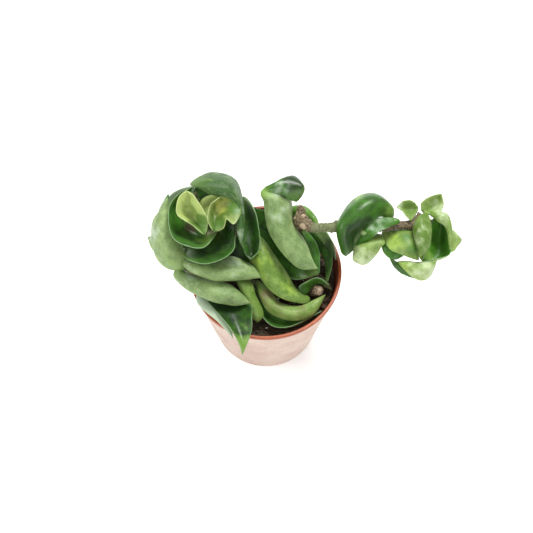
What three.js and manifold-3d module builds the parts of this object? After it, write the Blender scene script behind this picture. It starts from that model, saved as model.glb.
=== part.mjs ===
// A hindu rope plant (Hoya carnosa 'Compacta') in a small nursery pot.
// Units are millimetres and +Z is up. The origin is the middle of the pot's base, on the surface
// that the pot stands on. The long bare branch reaches out along +X.
import * as THREE from 'three';
import { mergeVertices } from 'three/addons/utils/BufferGeometryUtils.js';
import Module from 'manifold-3d';

const wasm = await Module();
wasm.setup();

// Driving dimensions of the pot, in millimetres
const POT_HEIGHT = 65;
const POT_RIM_RADIUS = 42;
const POT_BASE_RADIUS = 30.5;
const POT_WALL = 1;
const POT_FLOOR = 2;
const RIM_BAND_HEIGHT = 2;
const RIM_OVERHANG = 0.6;
const RIM_CHAMFER = 0.3;
const POT_SIDES = 48;
const DRAIN_HOLES = 6;
const DRAIN_HOLE_RADIUS = 3;
const DRAIN_CIRCLE_RADIUS = 19;
const DRAIN_HOLE_SIDES = 12;

// Soil: how high it stands, the room left to the pot, and the mounds on its top with their spacing
const SOIL_TOP = 57;
const SOIL_CLEARANCE = 0.5;
const SOIL_RINGS = 5;
const SOIL_SIDES = 28;
const MOUND_HEIGHT = 0.7;
const MOUND_LENGTH = 5;
const MOUND_WIDTH = 6;

// Room kept between two pieces that touch on the real plant
const GAP = 0.3;

// Leaves: the blade thins towards its tip, and its first share is filled out to a round stalk
const LEAF_THICKNESS = 1.8;
const TIP_THINNING = 0.35;
const STALK_SHARE = 0.16;
const STALK_WIDENING = 1.1;
const STALK_THICKENING = 0.3;
const BASE_ROUNDING_SHARE = 0.06;
const TIP_ROUNDING_SHARE = 0.08;

// Leaf sections: powers below 1 square off the margin and flatten the faces
const MARGIN_POWER = 0.75;
const FACE_POWER = 0.8;
const SIDES_AROUND_BLADE = 10;
const RINGS_PER_STATION = 2.4;
const FEWEST_RINGS = 8;
const EVEN_RING_SHARE = 0.4;
const FOLD_ROUNDING = 0.2;
const SMALL_STEP = 0.001;

// Stems
const STEM_SIDES = 8;
const STEM_STEP = 4.5;
const LUMP_SIDES = 10;
const LUMP_RINGS = 7;

// Finishes: the colour and roughness of each material
const OLD_LEAF = { color: 0x3f6f2c, roughness: 0.35 };
const PALE_LEAF = { color: 0x9dbb74, roughness: 0.45 };
const FRESH_LEAF = { color: 0x8fb04c, roughness: 0.4 };
const YOUNG_LEAF = { color: 0xb9c86a, roughness: 0.4 };
const BARK = { color: 0x7c7452, roughness: 0.9 };
const TERRACOTTA = { color: 0xb85f3e, roughness: 0.6 };
const POTTING_MIX = { color: 0x2b201a, roughness: 1 };

function toVector(point) {
  return new THREE.Vector3(...point);
}

function toCurve(points) {
  return new THREE.CatmullRomCurve3(points.map(toVector), false, 'catmullrom', 0.5);
}

// A closed three.js geometry as a solid that can be joined and cut
function toSolid(geometry) {
  geometry.deleteAttribute('normal');
  geometry.deleteAttribute('uv');
  const merged = mergeVertices(geometry);
  return new wasm.Manifold(new wasm.Mesh({
    numProp: 3,
    vertProperties: new Float32Array(merged.attributes.position.array),
    triVerts: new Uint32Array(merged.index.array),
  }));
}

function toGeometry(solid) {
  const mesh = solid.getMesh();
  const geometry = new THREE.BufferGeometry();
  geometry.setAttribute('position', new THREE.BufferAttribute(mesh.vertProperties, 3));
  geometry.setIndex(new THREE.BufferAttribute(mesh.triVerts, 1));
  geometry.computeVertexNormals();
  return geometry;
}

// Leaf: a thick blade held by three lines, its left edge, its rib and its right edge, named as seen
// on its upper side with the tip ahead. Each station is one row [left, rib, right] across the blade.
// Its crease runs from 0 for a section that is bent evenly to 1 for one that is folded at the rib.
function describeLeaf(name, finish, base, stations, tip, crease = 0) {
  const lines = [0, 1, 2].map((column) => toCurve([base, ...stations.map((row) => row[column]), tip]));
  return { name, finish, lines, stationCount: stations.length, crease };
}

// How far a section has bent away at a share of its half width: a parabola where it is bent evenly,
// nearly straight sides where it is folded
function bendShare(across, crease) {
  const sides = Math.hypot(across, FOLD_ROUNDING) - FOLD_ROUNDING;
  const whole = Math.hypot(1, FOLD_ROUNDING) - FOLD_ROUNDING;
  return THREE.MathUtils.lerp(across * across, sides / whole, crease);
}

// The middle sheet of the blade: along is 0 at the base and 1 at the tip, across is -1 at the left
// edge and 1 at the right one. Each cross-section runs through the three lines.
function sheetPoint(leaf, along, across) {
  const [left, rib, right] = leaf.lines.map((line) => line.getPoint(along));
  const halfWidth = right.clone().sub(left).multiplyScalar(across / 2);
  const bend = left.add(right).multiplyScalar(0.5).sub(rib);
  return rib.add(halfWidth).addScaledVector(bend, bendShare(across, leaf.crease));
}

function signedPower(value, power) {
  return Math.sign(value) * Math.abs(value) ** power;
}

// The directions of the sheet at a point: ahead to the tip, sideways to the right, up off its face
function sheetDirections(leaf, along, across) {
  const place = THREE.MathUtils.clamp(along, 2 * SMALL_STEP, 1 - 2 * SMALL_STEP);
  const ahead = sheetPoint(leaf, place + SMALL_STEP, across);
  ahead.sub(sheetPoint(leaf, place - SMALL_STEP, across)).normalize();
  const sideways = sheetPoint(leaf, place, across + SMALL_STEP);
  sideways.sub(sheetPoint(leaf, place, across - SMALL_STEP)).normalize();
  const up = sideways.clone().cross(ahead).normalize();
  return { ahead, sideways, up };
}

// A sphere whose poles become the base and the tip and whose two halves become the two faces of the
// blade. The solid is made larger by grow all round.
function leafSolid(leaf, grow = 0) {
  const rings = Math.max(FEWEST_RINGS, Math.round(RINGS_PER_STATION * (leaf.stationCount + 1)));
  const geometry = new THREE.SphereGeometry(1, SIDES_AROUND_BLADE, rings);
  const position = geometry.attributes.position;
  for (let i = 0; i < position.count; i += 1) {
    const ringShare = Math.acos(THREE.MathUtils.clamp(position.getY(i), -1, 1)) / Math.PI;
    const eased = 0.5 - 0.5 * Math.cos(Math.PI * ringShare);
    const along = THREE.MathUtils.lerp(eased, ringShare, EVEN_RING_SHARE);
    const radius = Math.hypot(position.getX(i), position.getZ(i));
    const atPole = radius < SMALL_STEP;
    const across = atPole ? 0 : signedPower(position.getX(i) / radius, MARGIN_POWER);
    const face = atPole ? 0 : signedPower(-position.getZ(i) / radius, FACE_POWER);

    const baseEnd = Math.sqrt(along / BASE_ROUNDING_SHARE);
    const tipEnd = Math.sqrt((1 - along) / TIP_ROUNDING_SHARE);
    const ends = Math.min(1, baseEnd, tipEnd);
    const stalk = ends * Math.max(0, 1 - along / STALK_SHARE);
    const halfBlade = (LEAF_THICKNESS / 2) * (1 - TIP_THINNING * along) * ends;

    const { ahead, sideways, up } = sheetDirections(leaf, along, across);
    const point = sheetPoint(leaf, along, across);
    point.addScaledVector(sideways, across * (stalk * STALK_WIDENING + grow));
    point.addScaledVector(up, face * (halfBlade + stalk * STALK_THICKENING + grow));
    if (atPole) point.addScaledVector(ahead, along < 0.5 ? -grow : grow);
    position.setXYZ(i, point.x, point.y, point.z);
  }
  return toSolid(geometry);
}

// A stem: a cylinder bent along a curve, its radius running through the given values
function stemSolid(points, radii, grow = 0) {
  const path = toCurve(points);
  const steps = Math.ceil(path.getLength() / STEM_STEP);
  const frames = path.computeFrenetFrames(steps);
  const geometry = new THREE.CylinderGeometry(1, 1, 1, STEM_SIDES, steps);
  const position = geometry.attributes.position;
  for (let i = 0; i < position.count; i += 1) {
    const ring = Math.round((position.getY(i) + 0.5) * steps);
    const place = (ring / steps) * (radii.length - 1);
    const before = Math.min(Math.floor(place), radii.length - 2);
    const radius = THREE.MathUtils.lerp(radii[before], radii[before + 1], place - before) + grow;
    const point = path.getPointAt(ring / steps);
    point.addScaledVector(frames.binormals[ring], position.getX(i) * radius);
    point.addScaledVector(frames.normals[ring], position.getZ(i) * radius);
    const end = ring === 0 ? -grow : (ring === steps ? grow : 0);
    point.addScaledVector(frames.tangents[ring], end);
    position.setXYZ(i, point.x, point.y, point.z);
  }
  return toSolid(geometry);
}

// A rounded lump, for the gnarled knob of old wood
function lumpSolid(centre, radius, grow = 0) {
  const geometry = new THREE.SphereGeometry(radius + grow, LUMP_SIDES, LUMP_RINGS);
  geometry.translate(...centre);
  return toSolid(geometry);
}

// Every leaf: its name, colour, base, stations across the blade and tip
const LEAVES = [
  // The rosette on the left: young leaves first, then the cups round them, then the skirt below
  describeLeaf('leaf_young_left', YOUNG_LEAF, [-32, 3, 97], [
    [[-39, 7, 101], [-36, 10, 97], [-30, 8, 101]],
    [[-45, 9, 105], [-40, 14, 100], [-32, 12, 107]],
    [[-46, 13, 109], [-41, 17, 104], [-35, 15, 110]],
    [[-44, 18, 111], [-40, 20, 107], [-37, 18, 111]],
  ], [-41, 21, 111], 0.6),
  describeLeaf('leaf_young_right', YOUNG_LEAF, [-27, 5, 97], [
    [[-30, 8, 103], [-27, 10, 99], [-22, 4, 101]],
    [[-29, 14, 106], [-25, 15, 101], [-20, 7, 105]],
    [[-26, 17, 108], [-22, 17, 103], [-16, 5, 104]],
    [[-21, 20, 107], [-18, 18, 104], [-13, 12, 103]],
  ], [-13, 19, 104], 0.4),
  describeLeaf('leaf_young_back', YOUNG_LEAF, [-31, 9, 96], [
    [[-34, 17, 101], [-33, 15, 99], [-30, 12, 101]],
    [[-33, 20, 105], [-31, 19, 102], [-27, 18, 102]],
    [[-26, 22, 106], [-24, 21, 104], [-22, 19, 104]],
  ], [-15, 21, 104], 0.4),
  describeLeaf('leaf_inner_cup', OLD_LEAF, [-26, 8, 91], [
    [[-33, -4, 95], [-33, 6, 87], [-30, 10, 90]],
    [[-47, -1, 98], [-44, 11, 89], [-37, 14, 92]],
    [[-51, 15, 101], [-47, 20, 93], [-40, 19, 96]],
    [[-46, 24, 103], [-44, 25, 97], [-39, 22, 99]],
  ], [-38, 29, 103]),
  describeLeaf('leaf_outer_cup', OLD_LEAF, [-45, 1, 82], [
    [[-37, 6, 84], [-39, 1, 84], [-39, -10, 92]],
    [[-33, 6, 82], [-30, 1, 82], [-27, -12, 93]],
    [[-27, 11, 83], [-21, 6, 86], [-17, -5, 94]],
    [[-24, 16, 88], [-18, 13, 90], [-16, 4, 93]],
  ], [-16, 19, 91]),
  describeLeaf('leaf_hood', PALE_LEAF, [-40, 30, 104], [
    [[-35, 25, 108], [-34, 26, 110], [-35, 35, 104]],
    [[-28, 21, 107], [-27, 25, 111], [-29, 39, 102]],
    [[-20, 20, 106], [-19, 25, 109], [-20, 39, 100]],
    [[-15, 18, 103], [-14, 20, 104], [-14, 32, 98]],
    [[-15, 10, 98], [-13, 9, 101], [-11, 15, 97]],
    [[-14, 2, 95], [-13, 1, 97], [-12, 3, 94]],
  ], [-11, -2, 88]),
  describeLeaf('leaf_right_boat', OLD_LEAF, [-12, 29, 94], [
    [[-7, 19, 99], [-8, 21, 94], [-12, 23, 93]],
    [[-4, 11, 96], [-7, 11, 90], [-13, 11, 90]],
    [[-3, 2, 90], [-7, 4, 84], [-12, 4, 86]],
    [[-4, -1, 86], [-7, 0, 82], [-11, -1, 84]],
  ], [-8, -4, 83], 0.4),
  describeLeaf('leaf_outer_left', PALE_LEAF, [-44, -8, 79], [
    [[-42, -4, 84], [-47, -8, 85], [-54, -6, 78]],
    [[-44, 2, 86], [-53, 1, 90], [-61, 4, 81]],
    [[-49, 12, 91], [-55, 13, 94], [-61, 17, 87]],
    [[-51, 21, 95], [-54, 20, 96], [-57, 21, 92]],
  ], [-52, 25, 99], 0.3),
  describeLeaf('leaf_left_tip', PALE_LEAF, [-46, -3, 77], [
    [[-51, 7, 79], [-55, 4, 79], [-59, 3, 74]],
    [[-58, 14, 80], [-61, 12, 80], [-65, 14, 76]],
  ], [-63, 11, 76], 0.4),
  describeLeaf('leaf_left_dark', OLD_LEAF, [-43, 6, 81], [
    [[-57, 17, 84], [-53, 16, 88], [-49, 19, 86]],
    [[-58, 21, 90], [-55, 22, 93], [-51, 24, 91]],
  ], [-52, 28, 98], 0.5),
  describeLeaf('leaf_left_pale', PALE_LEAF, [-37, 12, 83], [
    [[-43, 23, 88], [-49, 25, 88], [-53, 23, 90]],
    [[-41, 28, 92], [-46, 30, 93], [-50, 30, 96]],
  ], [-37, 34, 98], 0.4),
  describeLeaf('leaf_skirt_upper', PALE_LEAF, [-45, -5, 83], [
    [[-42, -9, 82], [-41, -9, 86], [-39, -3, 83]],
    [[-35, -13, 81], [-33, -12, 86], [-31, -1, 81]],
    [[-24, -15, 79], [-21, -13, 84], [-18, 0, 79]],
    [[-12, -13, 77], [-10, -11, 80], [-8, -4, 78]],
  ], [-1, -10, 74], 0.4),
  describeLeaf('leaf_skirt_lower', PALE_LEAF, [-47, -7, 79], [
    [[-49, -11, 76], [-45, -12, 79], [-40, -10, 77]],
    [[-40, -19, 74], [-36, -18, 79], [-32, -13, 77]],
    [[-28, -24, 73], [-24, -23, 78], [-22, -14, 76]],
    [[-17, -26, 72], [-15, -23, 75], [-15, -17, 73]],
  ], [-8, -24, 71], 0.4),
  describeLeaf('leaf_front_dark', OLD_LEAF, [-23, -9, 65], [
    [[-9, -20, 68], [-21, -18, 66], [-32, -19, 67]],
    [[-7, -34, 72], [-15, -34, 69], [-23, -33, 72]],
    [[-8, -43, 71], [-12, -46, 69], [-14, -47, 72]],
  ], [-12, -52, 67], 0.3),
  describeLeaf('leaf_front_pale', PALE_LEAF, [-33, -10, 71], [
    [[-37, -22, 69], [-34, -21, 69], [-30, -18, 66]],
    [[-25, -34, 68], [-23, -32, 68], [-21, -28, 66]],
  ], [-17, -43, 67]),
  describeLeaf('leaf_head_back_left', OLD_LEAF, [-29, 17, 85], [
    [[-32, 23, 80], [-27, 28, 80], [-24, 30, 84]],
    [[-41, 31, 81], [-36, 36, 83], [-31, 39, 88]],
  ], [-41, 40, 87], 0.3),
  describeLeaf('leaf_head_back_right', OLD_LEAF, [-16, 21, 81], [
    [[-24, 27, 75], [-19, 30, 75], [-14, 28, 79]],
    [[-29, 37, 76], [-24, 39, 79], [-18, 38, 84]],
  ], [-25, 43, 84], 0.3),
  describeLeaf('leaf_head_under', OLD_LEAF, [-39, 3, 76], [
    [[-32, 10, 69], [-37, 15, 68], [-39, 17, 73]],
    [[-44, 11, 68], [-50, 17, 69], [-52, 20, 74]],
  ], [-57, 14, 76]),
  // Leaves over the soil
  describeLeaf('leaf_long_fold', PALE_LEAF, [17, 25, 97], [
    [[16, 23, 98], [19, 26, 104], [20, 29, 103]],
    [[12, 23, 100], [11, 29, 106], [15, 37, 102]],
    [[6, 25, 103], [3, 27, 106], [7, 31, 104]],
    [[0, 23, 101], [-2, 24, 104], [1, 26, 105]],
    [[-1, 21, 98], [5, 19, 103], [13, 26, 97]],
    [[1, 11, 91], [8, 8, 97], [15, 15, 90]],
    [[7, 1, 86], [13, 0, 91], [21, 6, 86]],
    [[17, -8, 81], [21, -7, 84], [25, -3, 82]],
  ], [28, -7, 78]),
  describeLeaf('leaf_long_bright', FRESH_LEAF, [24, -17, 63], [
    [[18, -15, 67], [19, -19, 68], [20, -21, 65]],
    [[12, -7, 72], [8, -16, 74], [5, -19, 71]],
    [[4, 3, 79], [-1, -5, 82], [-6, -4, 73]],
    [[-2, 9, 84], [-6, 6, 84], [-11, 5, 78]],
  ], [-7, 11, 88]),
  describeLeaf('leaf_middle_dark', OLD_LEAF, [29, -4, 66], [
    [[14, -8, 69], [21, -1, 68], [28, 4, 70]],
    [[2, 5, 74], [9, 9, 73], [17, 13, 74]],
    [[-6, 18, 80], [0, 21, 79], [7, 25, 80]],
  ], [-6, 27, 86]),
  describeLeaf('leaf_middle_right', OLD_LEAF, [20, 13, 86], [
    [[25, 11, 82], [22, 9, 83], [19, 8, 81]],
    [[29, 4, 79], [26, 2, 80], [23, 1, 78]],
  ], [29, -8, 75], 0.4),
  describeLeaf('leaf_behind_knob', OLD_LEAF, [28, 12, 88], [
    [[25, 18, 83], [26, 20, 86], [28, 21, 84]],
    [[20, 21, 86], [21, 24, 88], [21, 28, 86]],
    [[15, 23, 83], [13, 25, 86], [12, 28, 84]],
  ], [8, 24, 80], 0.3),
  describeLeaf('leaf_stub_curl', OLD_LEAF, [19, -16, 61], [
    [[18, -12, 66], [20, -12, 64], [23, -13, 61]],
    [[23, -9, 68], [24, -9, 65], [26, -9, 62]],
    [[29, -7, 68], [29, -7, 65], [29, -8, 63]],
  ], [35, -10, 65]),
  describeLeaf('leaf_rim_inner', OLD_LEAF, [33, -9, 61], [
    [[33, -3, 62], [35, 0, 64], [37, 3, 66]],
    [[33, 5, 64], [34, 8, 66], [35, 13, 69]],
    [[29, 15, 64], [28, 18, 66], [27, 22, 68]],
  ], [23, 24, 64]),
  describeLeaf('leaf_rim_strip', PALE_LEAF, [23, 21, 74], [
    [[29, 17, 72], [31, 19, 74], [31, 20, 76]],
    [[34, 10, 70], [36, 11, 72], [37, 12, 74]],
  ], [39, 4, 68]),
  describeLeaf('leaf_low_pale', PALE_LEAF, [-5, -7, 65], [
    [[-3, -18, 66], [-1, -18, 69], [2, -13, 67]],
    [[3, -26, 62], [6, -25, 67], [8, -20, 64]],
    [[15, -30, 62], [16, -28, 67], [18, -22, 64]],
    [[26, -26, 61], [25, -23, 64], [24, -19, 63]],
  ], [33, -14, 62], 0.4),
  describeLeaf('leaf_low_dark', OLD_LEAF, [-10, -5, 63], [
    [[-2, -16, 63], [-4, -17, 62], [-6, -17, 64]],
    [[6, -25, 60], [2, -27, 59], [0, -30, 62]],
    [[14, -27, 60], [14, -31, 59], [11, -34, 62]],
  ], [31, -23, 60]),
  describeLeaf('leaf_low_inner', FRESH_LEAF, [-18, -4, 68], [
    [[-15, -12, 70], [-12, -13, 73], [-8, -11, 71]],
    [[-12, -21, 67], [-8, -21, 70], [-5, -18, 67]],
    [[-8, -27, 62], [-5, -29, 65], [-1, -26, 63]],
  ], [-4, -30, 60], 0.3),
  describeLeaf('leaf_low_small', PALE_LEAF, [28, -5, 60], [
    [[28, -5, 58], [31, -6, 62], [33, -3, 61]],
  ], [37, -11, 61]),
  describeLeaf('leaf_pot_left', OLD_LEAF, [-19, -3, 65], [
    [[-24, 0, 74], [-16, 1, 70], [-9, 0, 72]],
    [[-20, 7, 80], [-14, 9, 75], [-8, 10, 76]],
  ], [-12, 15, 83]),
  describeLeaf('leaf_pot_back', OLD_LEAF, [17, 20, 65], [
    [[5, 23, 72], [9, 27, 68], [14, 25, 71]],
    [[6, 29, 79], [9, 33, 76], [14, 31, 78]],
  ], [9, 36, 82]),
  // Leaves along the branch
  describeLeaf('leaf_kidney', OLD_LEAF, [68, 18, 86], [
    [[63, 19, 89], [65, 22, 94], [69, 24, 90]],
    [[58, 16, 91], [58, 22, 99], [60, 32, 92]],
    [[53, 11, 91], [48, 16, 99], [47, 28, 92]],
    [[49, 6, 87], [42, 7, 95], [38, 12, 93]],
    [[47, 2, 83], [43, 0, 87], [40, 2, 83]],
  ], [43, -1, 81]),
  describeLeaf('leaf_blade', OLD_LEAF, [71, 15, 90], [
    [[69, 13, 91], [68, 15, 92], [58, 18, 89]],
    [[61, 9, 91], [53, 9, 88], [52, 12, 87]],
    [[56, 7, 85], [53, 9, 88], [52, 13, 85]],
  ], [48, 5, 80]),
  describeLeaf('leaf_branch_pale', FRESH_LEAF, [63, 12, 82], [
    [[53, 12, 81], [58, 6, 85], [64, 6, 84]],
    [[48, 5, 80], [54, 2, 85], [62, 4, 81]],
    [[47, -2, 79], [52, -3, 81], [57, -2, 78]],
  ], [52, -5, 78]),
  describeLeaf('leaf_branch_under', OLD_LEAF, [56, 14, 83], [
    [[47, 22, 79], [50, 20, 74], [54, 14, 74]],
    [[43, 15, 75], [47, 16, 70], [51, 11, 70]],
  ], [45, 6, 71], 0.4),
  // The cluster at the tip of the branch
  describeLeaf('leaf_tip_left', PALE_LEAF, [83, 25, 88], [
    [[80, 27, 92], [80, 25, 87], [78, 16, 90]],
    [[75, 27, 93], [75, 25, 88], [74, 21, 91]],
  ], [71, 25, 90], 0.9),
  describeLeaf('leaf_tip_top', PALE_LEAF, [85, 23, 88], [
    [[92, 19, 90], [90, 25, 87], [84, 26, 92]],
    [[96, 24, 92], [93, 29, 89], [89, 29, 94]],
  ], [95, 30, 95], 0.9),
  describeLeaf('leaf_tip_front', PALE_LEAF, [87, 21, 89], [
    [[80, 15, 90], [82, 14, 95], [88, 15, 92]],
    [[79, 7, 88], [82, 4, 95], [88, 7, 91]],
    [[81, 1, 86], [82, -1, 91], [87, 1, 88]],
  ], [82, -4, 85], 0.5),
  describeLeaf('leaf_tip_bowl', OLD_LEAF, [91, 20, 86], [
    [[97, 18, 90], [95, 19, 84], [89, 14, 87]],
    [[98, 8, 87], [95, 11, 78], [88, 9, 84]],
    [[98, -1, 83], [93, 0, 78], [85, 0, 81]],
  ], [84, -3, 79]),
  describeLeaf('leaf_tip_rim', PALE_LEAF, [89, 21, 89], [
    [[92, 15, 91], [93, 16, 93], [94, 20, 92]],
    [[96, 11, 91], [97, 13, 94], [98, 18, 92]],
    [[97, 4, 89], [98, 4, 91], [99, 8, 89]],
  ], [98, 0, 86]),
  describeLeaf('leaf_tip_wing', PALE_LEAF, [81, 16, 81], [
    [[64, 15, 81], [75, 10, 86], [81, 10, 84]],
    [[66, 3, 83], [77, 2, 87], [82, 4, 83]],
    [[74, -1, 82], [79, -1, 84], [82, 0, 81]],
  ], [82, -3, 80], 0.8),
  describeLeaf('leaf_tip_wing_dark', OLD_LEAF, [84, 10, 78], [
    [[71, -1, 78], [73, 2, 80], [75, 5, 81]],
    [[64, 2, 79], [66, 5, 81], [68, 7, 82]],
  ], [62, 11, 81]),
  describeLeaf('leaf_tip_below', PALE_LEAF, [91, -3, 79], [
    [[87, -4, 80], [87, -9, 83], [88, -11, 77]],
    [[79, -3, 79], [79, -9, 82], [82, -13, 76]],
    [[75, -2, 78], [75, -6, 80], [76, -8, 76]],
  ], [71, -2, 77], 0.3),
  describeLeaf('leaf_tip_below_dark', OLD_LEAF, [89, -2, 74], [
    [[82, -9, 72], [81, -7, 74], [80, -5, 75]],
    [[75, -8, 73], [74, -6, 75], [74, -4, 76]],
    [[70, -4, 74], [70, -4, 77], [70, -2, 78]],
  ], [67, 1, 77], 0.6),
  describeLeaf('leaf_tip_end', PALE_LEAF, [99, 10, 75], [
    [[101, 4, 77], [102, 9, 79], [101, 17, 80]],
    [[104, 7, 77], [105, 10, 80], [104, 14, 80]],
  ], [107, 11, 78], 0.6),
  describeLeaf('leaf_tip_under', PALE_LEAF, [86, 12, 76], [
    [[84, 11, 69], [89, 12, 67], [94, 12, 70]],
    [[86, 4, 68], [91, 5, 65], [95, 5, 68]],
  ], [90, 0, 68], 0.5),
  describeLeaf('leaf_tip_under_right', PALE_LEAF, [89, 20, 84], [
    [[93, 16, 75], [97, 18, 76], [99, 21, 80]],
    [[96, 14, 72], [101, 15, 74], [103, 17, 78]],
  ], [104, 12, 74], 0.5),
];

// Stems: the tubes that grew together in each, as lists of points with the radii along them
const HEAD_STEM = [
  {
    points: [[-8, 2, 46], [-12, -3, 60], [-24, -6, 68], [-36, -8, 74], [-43, -4, 79], [-40, 6, 79],
      [-31, 13, 83], [-26, 13, 89], [-29, 10, 93], [-34, 17, 96], [-38, 26, 102]],
    radii: [2.6, 2.6, 2.5, 2.4, 2.3, 2.3, 2.2, 2, 1.8, 1.6, 1.4],
  },
  { points: [[-29, 10, 93], [-27, 7, 95], [-31, 4, 96]], radii: [1.7, 1.5, 1.3] },
  { points: [[-12, -3, 60], [-8, -6, 61], [-5, -8, 63]], radii: [1.8, 1.6, 1.4] },
  { points: [[-27, 13, 87], [-20, 18, 84], [-15, 21, 83], [-11, 24, 92]], radii: [1.8, 1.7, 1.6, 1.4] },
];
const BRANCH_STEM = [
  {
    points: [[19, 21, 46], [20, 20, 68], [19, 18, 82], [18, 16, 88], [19, 15, 93], [24, 10, 93],
      [39, 13, 88], [54, 14, 86], [64, 15, 86], [79, 16, 86], [88, 19, 86]],
    radii: [3, 3, 3.2, 3.6, 3.6, 2.6, 2.4, 2.3, 2.2, 2.1, 1.8],
  },
  { points: [[18, 15, 93], [19, 19, 96], [18, 21, 97]], radii: [1.8, 1.6, 1.4] },
  { points: [[37, 13, 88], [38, 14, 92]], radii: [1.4, 1.2] },
  { points: [[78, 16, 86], [82, 20, 86], [84, 23, 87]], radii: [1.7, 1.5, 1.3] },
  { points: [[84, 17, 86], [85, 13, 79], [91, 9, 73], [98, 9, 73]], radii: [1.8, 1.6, 1.5, 1.3] },
  { points: [[89, 10, 74], [92, 4, 73], [91, -2, 77]], radii: [1.5, 1.4, 1.3] },
];
const KNOB_LUMPS = [
  { centre: [19, 15, 92], radius: 4 },
  { centre: [22, 12, 93], radius: 3 },
  { centre: [19, 17, 88], radius: 3.4 },
  { centre: [19, 19, 95], radius: 2.4 },
];
const STUB = [
  { points: [[25, -9, 46], [26, -10, 54], [28, -11, 59], [29, -12, 63]], radii: [2.4, 2.4, 2.6, 3] },
  { points: [[26, -10, 57], [27, -6, 60], [28, -3, 64]], radii: [1.7, 1.5, 1.3] },
];

function joinStem(tubes, lumps, grow = 0) {
  const solids = tubes.map((tube) => stemSolid(tube.points, tube.radii, grow));
  const knobs = lumps.map((lump) => lumpSolid(lump.centre, lump.radius, grow));
  return [...solids, ...knobs].reduce((whole, solid) => whole.add(solid));
}

// A shape turned round +Z from its outline, a list of [radius, height] from axis to axis
function turnedShape(outline, sides) {
  const lathe = new THREE.LatheGeometry(outline.map(([r, z]) => new THREE.Vector2(r, z)), sides);
  lathe.rotateX(Math.PI / 2);
  return lathe;
}

// The pot's wall: its middle runs straight from the base to the rim
const WALL_TOP_RADIUS = POT_RIM_RADIUS - RIM_OVERHANG;

function drainHole(index) {
  const angle = (2 * Math.PI * index) / DRAIN_HOLES;
  const depth = 3 * POT_FLOOR;
  const drill = new THREE.CylinderGeometry(DRAIN_HOLE_RADIUS, DRAIN_HOLE_RADIUS, depth, DRAIN_HOLE_SIDES);
  drill.rotateX(Math.PI / 2);
  drill.translate(DRAIN_CIRCLE_RADIUS * Math.cos(angle), DRAIN_CIRCLE_RADIUS * Math.sin(angle), 0);
  return toSolid(drill);
}

// Pot: out along the base, up the wall and its rim band, and down the inside to the floor
function potSolid(grow = 0) {
  const bandBottom = POT_HEIGHT - RIM_BAND_HEIGHT - grow;
  const top = POT_HEIGHT + grow;
  const rim = POT_RIM_RADIUS + grow;
  const mouth = WALL_TOP_RADIUS - POT_WALL - grow;
  const outline = [
    [0, 0],
    [POT_BASE_RADIUS, 0],
    [WALL_TOP_RADIUS + grow, bandBottom],
    [rim, bandBottom],
    [rim, top - RIM_CHAMFER],
    [rim - RIM_CHAMFER, top],
    [mouth + RIM_CHAMFER, top],
    [mouth, top - RIM_CHAMFER],
    [POT_BASE_RADIUS - POT_WALL - grow, POT_FLOOR + grow],
    [0, POT_FLOOR + grow],
  ];
  let pot = toSolid(turnedShape(outline, POT_SIDES));
  for (let index = 0; index < DRAIN_HOLES; index += 1) pot = pot.subtract(drainHole(index));
  return pot;
}

// The inside of the pot's wall at a height
function mouthRadius(z) {
  const share = (z - POT_FLOOR) / (POT_HEIGHT - POT_FLOOR);
  return THREE.MathUtils.lerp(POT_BASE_RADIUS, WALL_TOP_RADIUS, share) - POT_WALL;
}

// Soil: fills the pot up to a little below its rim, with gentle mounds on top
function soilSolid(grow = 0) {
  const bottom = POT_FLOOR + SOIL_CLEARANCE;
  const topRadius = mouthRadius(SOIL_TOP) - SOIL_CLEARANCE;
  const outline = [[0, bottom], [mouthRadius(bottom) - SOIL_CLEARANCE, bottom]];
  for (let ring = SOIL_RINGS; ring >= 0; ring -= 1) {
    outline.push([(topRadius * ring) / SOIL_RINGS, SOIL_TOP + grow]);
  }
  const lathe = turnedShape(outline, SOIL_SIDES);
  const position = lathe.attributes.position;
  for (let i = 0; i < position.count; i += 1) {
    const [x, y, z] = [position.getX(i), position.getY(i), position.getZ(i)];
    const waves = Math.sin(x / MOUND_LENGTH + 1) * Math.cos(y / MOUND_WIDTH);
    const fadeToWall = 1 - Math.hypot(x, y) / topRadius;
    if (z > SOIL_TOP / 2) position.setZ(i, z + MOUND_HEIGHT * waves * fadeToWall);
  }
  return toSolid(lathe);
}

// Keeps the biggest body of a solid that a cut has left in pieces
function biggestBody(solid) {
  return solid.decompose().sort((a, b) => b.volume() - a.volume())[0];
}

function boxesMeet(a, b) {
  return [0, 1, 2].every((axis) => a.min[axis] < b.max[axis] && b.min[axis] < a.max[axis]);
}

// The pieces placed so far, each made larger by the gap that its neighbours keep to it
const taken = [];

// A piece named and finished, with the room cut away that each earlier neighbour takes
function pieceMesh(name, finish, makeSolid) {
  let piece = makeSolid(0);
  for (const neighbour of taken) {
    if (boxesMeet(piece.boundingBox(), neighbour.boundingBox())) piece = piece.subtract(neighbour);
  }
  taken.push(makeSolid(GAP));
  const material = new THREE.MeshStandardMaterial({ ...finish, metalness: 0 });
  const mesh = new THREE.Mesh(toGeometry(biggestBody(piece)), material);
  mesh.name = name;
  return mesh;
}

const plant = new THREE.Group();
plant.name = 'hindu_rope_plant';
plant.add(pieceMesh('pot', TERRACOTTA, potSolid));
plant.add(pieceMesh('head_stem', BARK, (grow) => joinStem(HEAD_STEM, [], grow)));
plant.add(pieceMesh('branch_stem', BARK, (grow) => joinStem(BRANCH_STEM, KNOB_LUMPS, grow)));
plant.add(pieceMesh('stem_stub', BARK, (grow) => joinStem(STUB, [], grow)));
plant.add(pieceMesh('soil', POTTING_MIX, soilSolid));
for (const leaf of LEAVES) {
  plant.add(pieceMesh(leaf.name, leaf.finish, (grow) => leafSolid(leaf, grow)));
}

export default plant;
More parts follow.
